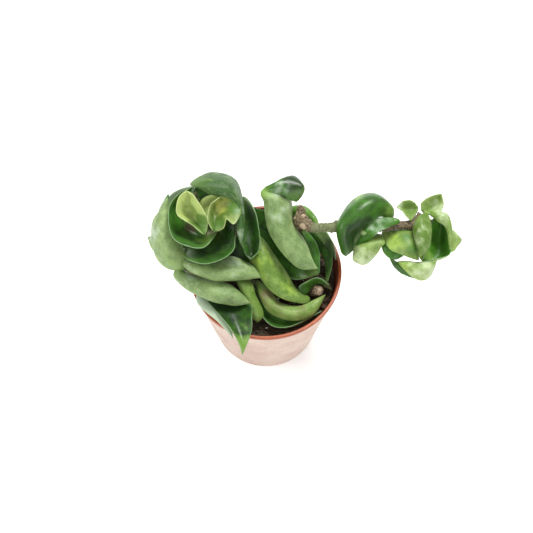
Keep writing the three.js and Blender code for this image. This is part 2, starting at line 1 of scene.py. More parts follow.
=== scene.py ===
# %% [markdown]
# # A hindu rope plant in a nursery pot
# The plant is a compact wax plant: thick leaves, each folded along its rib and curled back on
# itself, crowd round stems that would trail if they had the room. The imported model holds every
# leaf and stem, the soil and the pot at their real size and place. Here each gets its finer surface.

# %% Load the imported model
import math
import random

import bmesh
import bpy
from mathutils import Matrix, Vector, noise


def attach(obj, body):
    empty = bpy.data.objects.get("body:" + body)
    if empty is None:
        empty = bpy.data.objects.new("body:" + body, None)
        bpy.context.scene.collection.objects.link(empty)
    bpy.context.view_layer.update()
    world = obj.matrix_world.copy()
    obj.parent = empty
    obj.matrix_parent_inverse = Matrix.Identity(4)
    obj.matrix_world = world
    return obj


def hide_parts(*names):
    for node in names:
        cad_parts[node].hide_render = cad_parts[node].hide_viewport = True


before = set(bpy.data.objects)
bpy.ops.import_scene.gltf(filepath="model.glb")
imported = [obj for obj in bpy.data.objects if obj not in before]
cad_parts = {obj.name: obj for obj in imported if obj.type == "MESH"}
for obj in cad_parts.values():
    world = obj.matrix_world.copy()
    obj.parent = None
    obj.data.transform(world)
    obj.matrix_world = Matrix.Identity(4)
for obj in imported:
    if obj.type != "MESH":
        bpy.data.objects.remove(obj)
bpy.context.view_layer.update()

print("packed nodes:", len(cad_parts))

# %% [markdown]
# ## Lengths and colours
# A plant is measured in millimetres and Blender works in metres, so points are written in
# millimetres and turned once. Colours are picked as sRGB hex values, as a painter's chart gives
# them, while shaders mix light in linear values, so one function turns them too.

# %% Lengths and colours
MM = 0.001


def metres(point):
    """A point in metres from one in millimetres."""
    return Vector(point) * MM


def linear(hex_colour):
    """A linear colour with full alpha from a hex value, by the curve of the sRGB standard."""
    channels = [int(hex_colour[i : i + 2], 16) / 255 for i in (1, 3, 5)]
    bent = [c / 12.92 if c <= 0.04045 else ((c + 0.055) / 1.055) ** 2.4 for c in channels]
    return (*bent, 1.0)


print("middle grey in linear light:", round(linear("#808080")[0], 3))

# %% [markdown]
# ## Into the scene
# In Blender an object only places its data, such as a mesh or a lamp, and shows up once it is
# linked to the scene. Every piece goes that way, so two short functions do it.

# %% Objects
def placed(name, data):
    """A new object for some data, linked to the scene."""
    made = bpy.data.objects.new(name, data)
    bpy.context.scene.collection.objects.link(made)
    return made


def placed_shape(name, shape):
    """A new object with the mesh of a finished bmesh, linked to the scene."""
    mesh = bpy.data.meshes.new(name)
    shape.to_mesh(mesh)
    shape.free()
    return placed(name, mesh)


# %% [markdown]
# ## The viewpoint
# The photograph looks steeply down on the pot, from the front. The camera is set from the angle,
# the distance and the focal length in pixels of the picture, which is 533 pixels wide.

# %% Camera
PICTURE_WIDTH = 533
FOCAL_PIXELS = 850
SENSOR_WIDTH = 36
CAMERA_ELEVATION = math.radians(60.6)
CAMERA_DISTANCE = 470 * MM
NEAREST_SEEN = 10 * MM
LOOKS_AT = metres((0.5, 1.35, 65.8))

camera_data = bpy.data.cameras.new("camera")
camera_data.sensor_width = SENSOR_WIDTH
camera_data.lens = FOCAL_PIXELS / PICTURE_WIDTH * SENSOR_WIDTH
camera_data.clip_start = NEAREST_SEEN
camera = placed("camera", camera_data)
toward_camera = Vector((0, -math.cos(CAMERA_ELEVATION), math.sin(CAMERA_ELEVATION)))
camera.location = LOOKS_AT + toward_camera * CAMERA_DISTANCE
camera.rotation_euler = toward_camera.to_track_quat("Z", "Y").to_euler()
bpy.context.scene.camera = camera
print("lens:", round(camera_data.lens, 1), "mm")

# %% [markdown]
# ## Studio light
# The leaves are waxy, so what they mirror matters as much as what lights them. The smallest and
# strongest of three soft panels hangs above and behind and draws the long highlights on the folds.
# One at the left and a wide one in front light the pot and the near leaves, and an even white
# surround fills the shadows between the leaves.

# %% Lights
SURROUND_STRENGTH = 0.46
# The place and the side of each square panel, in metres, and its power in watts
PANELS = {
    "panel_behind": ((0.22, 0.45, 0.85), 0.3, 7.4),
    "panel_left": ((-0.75, -0.1, 0.7), 0.5, 4.0),
    "panel_front": ((0.25, -0.9, 0.55), 0.7, 3.6),
}

bpy.context.scene.view_settings.view_transform = "Standard"

world = bpy.data.worlds.new("surround")
world.use_nodes = True
background = world.node_tree.nodes["Background"]
background.inputs["Color"].default_value = linear("#ffffff")
background.inputs["Strength"].default_value = SURROUND_STRENGTH
bpy.context.scene.world = world

for panel_name, (panel_place, panel_side, watts) in PANELS.items():
    light = bpy.data.lights.new(panel_name, "AREA")
    light.size = panel_side
    light.energy = watts
    panel = placed(panel_name, light)
    panel.location = panel_place
    panel.rotation_euler = (Vector(panel_place) - LOOKS_AT).to_track_quat("Z", "Y").to_euler()
print("soft panels:", len(PANELS))

# %% [markdown]
# ## Helpers for shader nodes
# Every finish below is a small graph of nodes. One function starts a finish with what is the same
# all over it. Another adds a node, sets what is named, and links what feeds it, so that a finish
# reads as a list of what its colour and gloss are made of.

# %% Shader helpers
# The sockets of a Mix node that blends colours: the first colour, the second and the result
MIX_A, MIX_B, MIX_RESULT = 6, 7, 2


def set_socket(node, socket_name, value):
    """Sets a socket's own value, and turns a hex colour to linear on the way."""
    node.inputs[socket_name].default_value = linear(value) if isinstance(value, str) else value


def new_finish(name, constants):
    """A material with constants on its shader's own sockets, its tree and its shader."""
    material = bpy.data.materials.new(name)
    material.use_nodes = True
    shader = material.node_tree.nodes["Principled BSDF"]
    for socket_name, value in constants.items():
        set_socket(shader, socket_name, value)
    return material, material.node_tree, shader


def add(tree, kind, settings=None, links=None, output=0):
    """Adds a shader node with its settings and the sockets that feed it, and gives one output."""
    made = tree.nodes.new("ShaderNode" + kind)
    for name, value in (settings or {}).items():
        if isinstance(name, str) and hasattr(made, name):
            setattr(made, name, value)
        else:
            set_socket(made, name, value)
    for name, socket in (links or {}).items():
        tree.links.new(socket, made.inputs[name])
    return made.outputs[output]


# %% [markdown]
# ## The floor
# The plant stands on plain white paper, and one wide face is enough for it. Matt paper turns grey
# under soft light, so this one also glows a little, which keeps the ground as white as it is in
# the photograph. It is only the stage, not a part of the plant.

# %% Floor
FLOOR_REACH = 3.0
PAPER_GLOW = 0.25

floor_shape = bmesh.new()
bmesh.ops.create_grid(floor_shape, x_segments=1, y_segments=1, size=FLOOR_REACH)
floor = placed_shape("floor", floor_shape)

# Uncoated paper: it scatters light evenly, so it shows no highlight
paper = new_finish(
    "matt white paper sweep",
    {"Base Color": "#fdfdfd", "Roughness": 0.9, "Emission Color": "#ffffff",
     "Emission Strength": PAPER_GLOW},
)[0]
floor.data.materials.append(paper)
print("floor width:", 2 * FLOOR_REACH, "m")

# %% [markdown]
# ## What a leaf is made of
# A wax plant's leaf is a water-filled blade under a waxy skin. Its upper side is deep green and
# glossy, its underside paler, more matt and finely dotted with pores, and a thin pale rim runs
# round between them. One function builds this tissue, and its ages differ only in colour and
# gloss. Each leaf carries its own measures: which side a point is on, how far it is across and
# along the blade, how light that leaf is, and how strong its marks are there.

# %% Mottling and coats
NOISE_LOW, NOISE_HIGH = 0.3, 0.7


def mottling(tree, size, detail, swing):
    """Noise of a real size, and the shift in lightness, up to swing either way, that it gives."""
    place = add(tree, "TexCoord", output="Object")
    height = add(tree, "TexNoise", {"Scale": 1 / size, "Detail": detail}, {"Vector": place})
    shift = add(
        tree, "MapRange",
        {"From Min": NOISE_LOW, "From Max": NOISE_HIGH, "To Min": -swing, "To Max": swing},
        {"Value": height},
    )
    return height, shift


def coated(tree, colour, tint, measure, start, full, most):
    """Lays a tint over a colour: none where the measure is start, and most of it from full on."""
    share = add(
        tree, "MapRange",
        {"interpolation_type": "SMOOTHSTEP", "From Min": start, "From Max": full, "To Max": most},
        {"Value": measure},
    )
    settings = {"data_type": "RGBA", MIX_B: tint}
    return add(tree, "Mix", settings, {"Factor": share, MIX_A: colour}, MIX_RESULT)


# %% Leaf tissue
PORE_SIZE = 0.55 * MM
CLOUD_SIZE = 5 * MM
PALE_FROM = 0.35
VEINS_ALONG = 9
VEIN_SLANT = 0.22
VEIN_FROM = 0.55
VEIN_LIGHT = 0.09
# For each coat: the measure where it starts, where it is full, and how much of it shows there
BASE_COAT = (0.3, 0.0, 0.8)
MARK_COAT = (0.22, 0.75, 0.85)
RIM_COAT = (0.42, 0.12, 0.6)
# The kinds of mark: painted shade where a blade cups, folds or lies hidden, yellow-green from the
# sun, brown cork that on one leaf is painted shade, and a pale bloom of wax that is partly painted
# highlight
PAINTED_SHADE, SUN, CORK_AND_SHADE, BLOOM_AND_HIGHLIGHT = "painted_shade", "sun", "corky", "bloom_and_highlight"
# The order in which their colours are laid on
MARK_KINDS = (PAINTED_SHADE, SUN, BLOOM_AND_HIGHLIGHT, CORK_AND_SHADE)


def leaf_tissue(name, upper, under, tints, upper_roughness, under_roughness, edge_light):
    """upper and under are (dark, light) colours of the two sides, tints those of margin, base and
    marks. edge_light is how much the blade pales towards its margins."""
    material, tree, shader = new_finish(
        name, {"IOR": 1.45, "Sheen Weight": 0.06, "Sheen Roughness": 0.45, "Sheen Tint": "#c6e2cc"}
    )
    measures = add(tree, "Attribute", {"attribute_name": "leaf"}, output="Vector")
    side, across, along = add(tree, "SeparateXYZ", links={"Vector": measures}).node.outputs
    lightness = add(tree, "Attribute", {"attribute_name": "lightness"}, output="Fac")
    clouds, cloud_shift = mottling(tree, CLOUD_SIZE, detail=3.0, swing=0.22)
    pores, pore_shift = mottling(tree, PORE_SIZE, detail=2.0, swing=0.16)

    off_rib = add(tree, "Math", {"operation": "ABSOLUTE"}, {0: across})
    toward_edge = add(
        tree, "MapRange",
        {"interpolation_type": "SMOOTHSTEP", "From Min": PALE_FROM, "To Max": edge_light},
        {"Value": off_rib},
    )
    vein_place = add(
        tree, "Math", {"operation": "MULTIPLY_ADD", 1: -VEIN_SLANT}, {0: off_rib, 2: along}
    )
    turns = {"operation": "MULTIPLY", 1: 2 * math.pi * VEINS_ALONG}
    vein_wave = add(tree, "Math", {"operation": "SINE"}, {0: add(tree, "Math", turns, {0: vein_place})})
    veins = add(
        tree, "MapRange",
        {"interpolation_type": "SMOOTHSTEP", "From Min": VEIN_FROM, "To Max": VEIN_LIGHT},
        {"Value": vein_wave},
    )
    edged = add(tree, "Math", {"operation": "ADD"}, {0: lightness, 1: toward_edge})
    veined = add(tree, "Math", {"operation": "ADD"}, {0: edged, 1: veins})
    clamped_sum = {"operation": "ADD", "use_clamp": True}
    clouded = add(tree, "Math", clamped_sum, {0: veined, 1: cloud_shift})
    dotted = add(tree, "Math", clamped_sum, {0: clouded, 1: pore_shift})

    upper_colour, under_colour = (
        add(
            tree, "Mix", {"data_type": "RGBA", MIX_A: dark, MIX_B: light}, {"Factor": share},
            MIX_RESULT,
        )
        for (dark, light), share in ((upper, clouded), (under, dotted))
    )
    is_upper = add(
        tree, "MapRange", {"interpolation_type": "SMOOTHSTEP", "From Min": -0.2, "From Max": 0.1},
        {"Value": side},
    )
    sides = {"Factor": is_upper, MIX_A: under_colour, MIX_B: upper_colour}
    colour = add(tree, "Mix", {"data_type": "RGBA"}, sides, MIX_RESULT)
    colour = coated(tree, colour, tints["base"], along, *BASE_COAT)
    # Marks laid on the colour: painted shade, sun yellowing, a wax bloom that is partly painted
    # highlight, and cork
    for kind in MARK_KINDS:
        amount = add(tree, "Attribute", {"attribute_name": kind}, output="Fac")
        ragged = add(tree, "Math", {"operation": "ADD"}, {0: amount, 1: cloud_shift})
        colour = coated(tree, colour, tints[kind], ragged, *MARK_COAT)
    from_middle = add(tree, "Math", {"operation": "ABSOLUTE"}, {0: side})
    colour = coated(tree, colour, tints["margin"], from_middle, *RIM_COAT)
    tree.links.new(colour, shader.inputs["Base Color"])

    glosses = {"To Min": under_roughness, "To Max": upper_roughness}
    roughness = add(tree, "MapRange", glosses, {"Value": is_upper})
    tree.links.new(roughness, shader.inputs["Roughness"])
    grain = add(tree, "Bump", {"Strength": 0.25, "Distance": 0.12 * MM}, {"Height": pores})
    swell = add(
        tree, "Bump", {"Strength": 0.35, "Distance": 0.5 * MM}, {"Height": clouds, "Normal": grain}
    )
    tree.links.new(swell, shader.inputs["Normal"])
    return material


# Each tissue's tints include a painted shade green and a bloom that is partly painted highlight
# Old leaves: hard, deep green and glossy above, grey-green below
OLD_LEAF = leaf_tissue(
    "mature wax plant leaf, glossy cuticle", ("#132909", "#4b8424"), ("#32581f", "#9cb474"),
    {"margin": "#8fae80", "base": "#66853c", PAINTED_SHADE: "#142c0d", SUN: "#7ba043", CORK_AND_SHADE: "#4b3c26",
     BLOOM_AND_HIGHLIGHT: "#b7c9b0"},
    upper_roughness=0.35, under_roughness=0.52, edge_light=0.12,
)
# Fresh leaves: full grown but not yet hardened, so yellower on both sides
FRESH_LEAF = leaf_tissue(
    "fresh wax plant leaf, soft cuticle", ("#2c5a1a", "#6a9a3c"), ("#5a7c27", "#a9c072"),
    {"margin": "#a9c07c", "base": "#6e8f3a", PAINTED_SHADE: "#4a7a30", SUN: "#9dbd44", CORK_AND_SHADE: "#66583a",
     BLOOM_AND_HIGHLIGHT: "#c9d8ac"},
    upper_roughness=0.38, under_roughness=0.48, edge_light=0.15,
)
# Young leaves: pale and tender, with the lightest rims
YOUNG_LEAF = leaf_tissue(
    "young wax plant leaf, thin wax", ("#4f6a20", "#b4c676"), ("#7b9038", "#b9c982"),
    {"margin": "#c3d08c", "base": "#4e7a2a", PAINTED_SHADE: "#4f7826", SUN: "#a0a54c", CORK_AND_SHADE: "#66583a",
     BLOOM_AND_HIGHLIGHT: "#d5dfb4"},
    upper_roughness=0.4, under_roughness=0.44, edge_light=0.45,
)
print("leaf tissues:", [tissue.name for tissue in (OLD_LEAF, FRESH_LEAF, YOUNG_LEAF)])

# %% [markdown]
# ## The leaves' measures
# Each leaf is a blade held by three lines from its base to its tip: the left edge, the rib and
# the right edge, as seen on its upper side with the tip ahead. A row gives one point of each across
# the blade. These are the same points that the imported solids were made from, in whole millimetres.
# Before them stand the leaf's tissue and its lightness from 0 to 1, and after them how sharply it
# is folded at the rib, from 0 to 1 too.

# %% Leaf table
LEAVES = [
    ("young_left", YOUNG_LEAF, 0.74, (-32, 3, 97), [
        ((-39, 7, 101), (-36, 10, 97), (-30, 8, 101)),
        ((-45, 9, 105), (-40, 14, 100), (-32, 12, 107)),
        ((-46, 13, 109), (-41, 17, 104), (-35, 15, 110)),
        ((-44, 18, 111), (-40, 20, 107), (-37, 18, 111)),
    ], (-41, 21, 111), 0.6),
    ("young_right", YOUNG_LEAF, 0.0, (-27, 5, 97), [
        ((-30, 8, 103), (-27, 10, 99), (-22, 4, 101)),
        ((-29, 14, 106), (-25, 15, 101), (-20, 7, 105)),
        ((-26, 17, 108), (-22, 17, 103), (-16, 5, 104)),
        ((-21, 20, 107), (-18, 18, 104), (-13, 12, 103)),
    ], (-13, 19, 104), 0.4),
    ("young_back", YOUNG_LEAF, 0.65, (-31, 9, 96), [
        ((-34, 17, 101), (-33, 15, 99), (-30, 12, 101)),
        ((-33, 20, 105), (-31, 19, 102), (-27, 18, 102)),
        ((-26, 22, 106), (-24, 21, 104), (-22, 19, 104)),
    ], (-15, 21, 104), 0.4),
    ("inner_cup", OLD_LEAF, 0.5, (-26, 8, 91), [
        ((-33, -4, 95), (-33, 6, 87), (-30, 10, 90)),
        ((-47, -1, 98), (-44, 11, 89), (-37, 14, 92)),
        ((-51, 15, 101), (-47, 20, 93), (-40, 19, 96)),
        ((-46, 24, 103), (-44, 25, 97), (-39, 22, 99)),
    ], (-38, 29, 103), 0),
    ("outer_cup", OLD_LEAF, 0.28, (-45, 1, 82), [
        ((-37, 6, 84), (-39, 1, 84), (-39, -10, 92)),
        ((-33, 6, 82), (-30, 1, 82), (-27, -12, 93)),
        ((-27, 11, 83), (-21, 6, 86), (-17, -5, 94)),
        ((-24, 16, 88), (-18, 13, 90), (-16, 4, 93)),
    ], (-16, 19, 91), 0),
    ("hood", OLD_LEAF, 0.0, (-40, 30, 104), [
        ((-35, 25, 108), (-34, 26, 110), (-35, 35, 104)),
        ((-28, 21, 107), (-27, 25, 111), (-29, 39, 102)),
        ((-20, 20, 106), (-19, 25, 109), (-20, 39, 100)),
        ((-15, 18, 103), (-14, 20, 104), (-14, 32, 98)),
        ((-15, 10, 98), (-13, 9, 101), (-11, 15, 97)),
        ((-14, 2, 95), (-13, 1, 97), (-12, 3, 94)),
    ], (-11, -2, 88), 0),
    ("right_boat", OLD_LEAF, 0.22, (-12, 29, 94), [
        ((-7, 19, 99), (-8, 21, 94), (-12, 23, 93)),
        ((-4, 11, 96), (-7, 11, 90), (-13, 11, 90)),
        ((-3, 2, 90), (-7, 4, 84), (-12, 4, 86)),
        ((-4, -1, 86), (-7, 0, 82), (-11, -1, 84)),
    ], (-8, -4, 83), 0.4),
    ("outer_left", OLD_LEAF, 0.66, (-44, -8, 79), [
        ((-42, -4, 84), (-47, -8, 85), (-54, -6, 78)),
        ((-44, 2, 86), (-53, 1, 90), (-61, 4, 81)),
        ((-49, 12, 91), (-55, 13, 94), (-61, 17, 87)),
        ((-51, 21, 95), (-54, 20, 96), (-57, 21, 92)),
    ], (-52, 25, 99), 0.3),
    ("left_tip", OLD_LEAF, 0.8, (-46, -3, 77), [
        ((-51, 7, 79), (-55, 4, 79), (-59, 3, 74)),
        ((-58, 14, 80), (-61, 12, 80), (-65, 14, 76)),
    ], (-63, 11, 76), 0.4),
    ("left_dark", OLD_LEAF, 0.85, (-43, 6, 81), [
        ((-57, 17, 84), (-53, 16, 88), (-49, 19, 86)),
        ((-58, 21, 90), (-55, 22, 93), (-51, 24, 91)),
    ], (-52, 28, 98), 0.5),
    ("left_pale", OLD_LEAF, 1.0, (-37, 12, 83), [
        ((-43, 23, 88), (-49, 25, 88), (-53, 23, 90)),
        ((-41, 28, 92), (-46, 30, 93), (-50, 30, 96)),
    ], (-37, 34, 98), 0.4),
    ("skirt_upper", OLD_LEAF, 0.56, (-45, -5, 83), [
        ((-42, -9, 82), (-41, -9, 86), (-39, -3, 83)),
        ((-35, -13, 81), (-33, -12, 86), (-31, -1, 81)),
        ((-24, -15, 79), (-21, -13, 84), (-18, 0, 79)),
        ((-12, -13, 77), (-10, -11, 80), (-8, -4, 78)),
    ], (-1, -10, 74), 0.4),
    ("skirt_lower", OLD_LEAF, 0.56, (-47, -7, 79), [
        ((-49, -11, 76), (-45, -12, 79), (-40, -10, 77)),
        ((-40, -19, 74), (-36, -18, 79), (-32, -13, 77)),
        ((-28, -24, 73), (-24, -23, 78), (-22, -14, 76)),
        ((-17, -26, 72), (-15, -23, 75), (-15, -17, 73)),
    ], (-8, -24, 71), 0.4),
    ("front_dark", OLD_LEAF, 0.15, (-23, -9, 65), [
        ((-9, -20, 68), (-21, -18, 66), (-32, -19, 67)),
        ((-7, -34, 72), (-15, -34, 69), (-23, -33, 72)),
        ((-8, -43, 71), (-12, -46, 69), (-14, -47, 72)),
    ], (-12, -52, 67), 0.3),
    ("front_pale", OLD_LEAF, 1.0, (-33, -10, 71), [
        ((-37, -22, 69), (-34, -21, 69), (-30, -18, 66)),
        ((-25, -34, 68), (-23, -32, 68), (-21, -28, 66)),
    ], (-17, -43, 67), 0),
    ("head_back_left", OLD_LEAF, 0.2, (-29, 17, 85), [
        ((-32, 23, 80), (-27, 28, 80), (-24, 30, 84)),
        ((-41, 31, 81), (-36, 36, 83), (-31, 39, 88)),
    ], (-41, 40, 87), 0.3),
    ("head_back_right", OLD_LEAF, 0.15, (-16, 21, 81), [
        ((-24, 27, 75), (-19, 30, 75), (-14, 28, 79)),
        ((-29, 37, 76), (-24, 39, 79), (-18, 38, 84)),
    ], (-25, 43, 84), 0.3),
    ("head_under", OLD_LEAF, 0.1, (-39, 3, 76), [
        ((-32, 10, 69), (-37, 15, 68), (-39, 17, 73)),
        ((-44, 11, 68), (-50, 17, 69), (-52, 20, 74)),
    ], (-57, 14, 76), 0),
    ("long_fold", OLD_LEAF, 0.54, (17, 25, 97), [
        ((16, 23, 98), (19, 26, 104), (20, 29, 103)),
        ((12, 23, 100), (11, 29, 106), (15, 37, 102)),
        ((6, 25, 103), (3, 27, 106), (7, 31, 104)),
        ((0, 23, 101), (-2, 24, 104), (1, 26, 105)),
        ((-1, 21, 98), (5, 19, 103), (13, 26, 97)),
        ((1, 11, 91), (8, 8, 97), (15, 15, 90)),
        ((7, 1, 86), (13, 0, 91), (21, 6, 86)),
        ((17, -8, 81), (21, -7, 84), (25, -3, 82)),
    ], (28, -7, 78), 0),
    ("long_bright", FRESH_LEAF, 0.12, (24, -17, 63), [
        ((18, -15, 67), (19, -19, 68), (20, -21, 65)),
        ((12, -7, 72), (8, -16, 74), (5, -19, 71)),
        ((4, 3, 79), (-1, -5, 82), (-6, -4, 73)),
        ((-2, 9, 84), (-6, 6, 84), (-11, 5, 78)),
    ], (-7, 11, 88), 0),
    ("middle_dark", OLD_LEAF, 0.22, (29, -4, 66), [
        ((14, -8, 69), (21, -1, 68), (28, 4, 70)),
        ((2, 5, 74), (9, 9, 73), (17, 13, 74)),
        ((-6, 18, 80), (0, 21, 79), (7, 25, 80)),
    ], (-6, 27, 86), 0),
    ("middle_right", OLD_LEAF, 0.5, (20, 13, 86), [
        ((25, 11, 82), (22, 9, 83), (19, 8, 81)),
        ((29, 4, 79), (26, 2, 80), (23, 1, 78)),
    ], (29, -8, 75), 0.4),
    ("behind_knob", FRESH_LEAF, 0.8, (28, 12, 88), [
        ((25, 18, 83), (26, 20, 86), (28, 21, 84)),
        ((20, 21, 86), (21, 24, 88), (21, 28, 86)),
        ((15, 23, 83), (13, 25, 86), (12, 28, 84)),
    ], (8, 24, 80), 0.3),
    ("stub_curl", OLD_LEAF, 0.35, (19, -16, 61), [
        ((18, -12, 66), (20, -12, 64), (23, -13, 61)),
        ((23, -9, 68), (24, -9, 65), (26, -9, 62)),
        ((29, -7, 68), (29, -7, 65), (29, -8, 63)),
    ], (35, -10, 65), 0),
    ("rim_inner", OLD_LEAF, 0.3, (33, -9, 61), [
        ((33, -3, 62), (35, 0, 64), (37, 3, 66)),
        ((33, 5, 64), (34, 8, 66), (35, 13, 69)),
        ((29, 15, 64), (28, 18, 66), (27, 22, 68)),
    ], (23, 24, 64), 0),
    ("rim_strip", OLD_LEAF, 0.35, (23, 21, 74), [
        ((29, 17, 72), (31, 19, 74), (31, 20, 76)),
        ((34, 10, 70), (36, 11, 72), (37, 12, 74)),
    ], (39, 4, 68), 0),
    ("low_pale", FRESH_LEAF, 0.3, (-5, -7, 65), [
        ((-3, -18, 66), (-1, -18, 69), (2, -13, 67)),
        ((3, -26, 62), (6, -25, 67), (8, -20, 64)),
        ((15, -30, 62), (16, -28, 67), (18, -22, 64)),
        ((26, -26, 61), (25, -23, 64), (24, -19, 63)),
    ], (33, -14, 62), 0.4),
    ("low_dark", OLD_LEAF, 0.3, (-10, -5, 63), [
        ((-2, -16, 63), (-4, -17, 62), (-6, -17, 64)),
        ((6, -25, 60), (2, -27, 59), (0, -30, 62)),
        ((14, -27, 60), (14, -31, 59), (11, -34, 62)),
    ], (31, -23, 60), 0),
    ("low_inner", FRESH_LEAF, 0.12, (-18, -4, 68), [
        ((-15, -12, 70), (-12, -13, 73), (-8, -11, 71)),
        ((-12, -21, 67), (-8, -21, 70), (-5, -18, 67)),
        ((-8, -27, 62), (-5, -29, 65), (-1, -26, 63)),
    ], (-4, -30, 60), 0.3),
    # Painted shade: this small leaf lies in shadow, so its lightness is low
    ("low_small", OLD_LEAF, 0.1, (28, -5, 60), [
        ((28, -5, 58), (31, -6, 62), (33, -3, 61)),
    ], (37, -11, 61), 0),
    ("pot_left", OLD_LEAF, 0.1, (-19, -3, 65), [
        ((-24, 0, 74), (-16, 1, 70), (-9, 0, 72)),
        ((-20, 7, 80), (-14, 9, 75), (-8, 10, 76)),
    ], (-12, 15, 83), 0),
    ("pot_back", OLD_LEAF, 0.3, (17, 20, 65), [
        ((5, 23, 72), (9, 27, 68), (14, 25, 71)),
        ((6, 29, 79), (9, 33, 76), (14, 31, 78)),
    ], (9, 36, 82), 0),
    ("kidney", OLD_LEAF, 0.5, (68, 18, 86), [
        ((63, 19, 89), (65, 22, 94), (69, 24, 90)),
        ((58, 16, 91), (58, 22, 99), (60, 32, 92)),
        ((53, 11, 91), (48, 16, 99), (47, 28, 92)),
        ((49, 6, 87), (42, 7, 95), (38, 12, 93)),
        ((47, 2, 83), (43, 0, 87), (40, 2, 83)),
    ], (43, -1, 81), 0),
    ("blade", OLD_LEAF, 0.7, (71, 15, 90), [
        ((69, 13, 91), (68, 15, 92), (58, 18, 89)),
        ((61, 9, 91), (53, 9, 88), (52, 12, 87)),
        ((56, 7, 85), (53, 9, 88), (52, 13, 85)),
    ], (48, 5, 80), 0),
    ("branch_pale", FRESH_LEAF, 0.45, (63, 12, 82), [
        ((53, 12, 81), (58, 6, 85), (64, 6, 84)),
        ((48, 5, 80), (54, 2, 85), (62, 4, 81)),
        ((47, -2, 79), (52, -3, 81), (57, -2, 78)),
    ], (52, -5, 78), 0),
    ("branch_under", OLD_LEAF, 0.4, (56, 14, 83), [
        ((47, 22, 79), (50, 20, 74), (54, 14, 74)),
        ((43, 15, 75), (47, 16, 70), (51, 11, 70)),
    ], (45, 6, 71), 0.4),
    ("tip_left", FRESH_LEAF, 0.25, (83, 25, 88), [
        ((80, 27, 92), (80, 25, 87), (78, 16, 90)),
        ((75, 27, 93), (75, 25, 88), (74, 21, 91)),
    ], (71, 25, 90), 0.9),
    ("tip_top", FRESH_LEAF, 0.38, (85, 23, 88), [
        ((92, 19, 90), (90, 25, 87), (84, 26, 92)),
        ((96, 24, 92), (93, 29, 89), (89, 29, 94)),
    ], (95, 30, 95), 0.9),
    ("tip_front", FRESH_LEAF, 0.05, (87, 21, 89), [
        ((80, 15, 90), (82, 14, 95), (88, 15, 92)),
        ((79, 7, 88), (82, 4, 95), (88, 7, 91)),
        ((81, 1, 86), (82, -1, 91), (87, 1, 88)),
    ], (82, -4, 85), 0.5),
    ("tip_bowl", OLD_LEAF, 0.8, (91, 20, 86), [
        ((97, 18, 90), (95, 19, 84), (89, 14, 87)),
        ((98, 8, 87), (95, 11, 78), (88, 9, 84)),
        ((98, -1, 83), (93, 0, 78), (85, 0, 81)),
    ], (84, -3, 79), 0),
    ("tip_rim", FRESH_LEAF, 0.25, (89, 21, 89), [
        ((92, 15, 91), (93, 16, 93), (94, 20, 92)),
        ((96, 11, 91), (97, 13, 94), (98, 18, 92)),
        ((97, 4, 89), (98, 4, 91), (99, 8, 89)),
    ], (98, 0, 86), 0),
    ("tip_wing", FRESH_LEAF, 0.3, (81, 16, 81), [
        ((64, 15, 81), (75, 10, 86), (81, 10, 84)),
        ((66, 3, 83), (77, 2, 87), (82, 4, 83)),
        ((74, -1, 82), (79, -1, 84), (82, 0, 81)),
    ], (82, -3, 80), 0.8),
    ("tip_wing_dark", OLD_LEAF, 0.6, (84, 10, 78), [
        ((71, -1, 78), (73, 2, 80), (75, 5, 81)),
        ((64, 2, 79), (66, 5, 81), (68, 7, 82)),
    ], (62, 11, 81), 0),
    ("tip_below", FRESH_LEAF, 0.6, (91, -3, 79), [
        ((87, -4, 80), (87, -9, 83), (88, -11, 77)),
        ((79, -3, 79), (79, -9, 82), (82, -13, 76)),
        ((75, -2, 78), (75, -6, 80), (76, -8, 76)),
    ], (71, -2, 77), 0.3),
    ("tip_below_dark", OLD_LEAF, 0.4, (89, -2, 74), [
        ((82, -9, 72), (81, -7, 74), (80, -5, 75)),
        ((75, -8, 73), (74, -6, 75), (74, -4, 76)),
        ((70, -4, 74), (70, -4, 77), (70, -2, 78)),
    ], (67, 1, 77), 0.6),
    ("tip_end", FRESH_LEAF, 0.5, (99, 10, 75), [
        ((101, 4, 77), (102, 9, 79), (101, 17, 80)),
        ((104, 7, 77), (105, 10, 80), (104, 14, 80)),
    ], (107, 11, 78), 0.6),
    ("tip_under", FRESH_LEAF, 0.5, (86, 12, 76), [
        ((84, 11, 69), (89, 12, 67), (94, 12, 70)),
        ((86, 4, 68), (91, 5, 65), (95, 5, 68)),
    ], (90, 0, 68), 0.5),
    ("tip_under_right", FRESH_LEAF, 0.5, (89, 20, 84), [
        ((93, 16, 75), (97, 18, 76), (99, 21, 80)),
        ((96, 14, 72), (101, 15, 74), (103, 17, 78)),
    ], (104, 12, 74), 0.5),
]
print("leaves:", len(LEAVES))
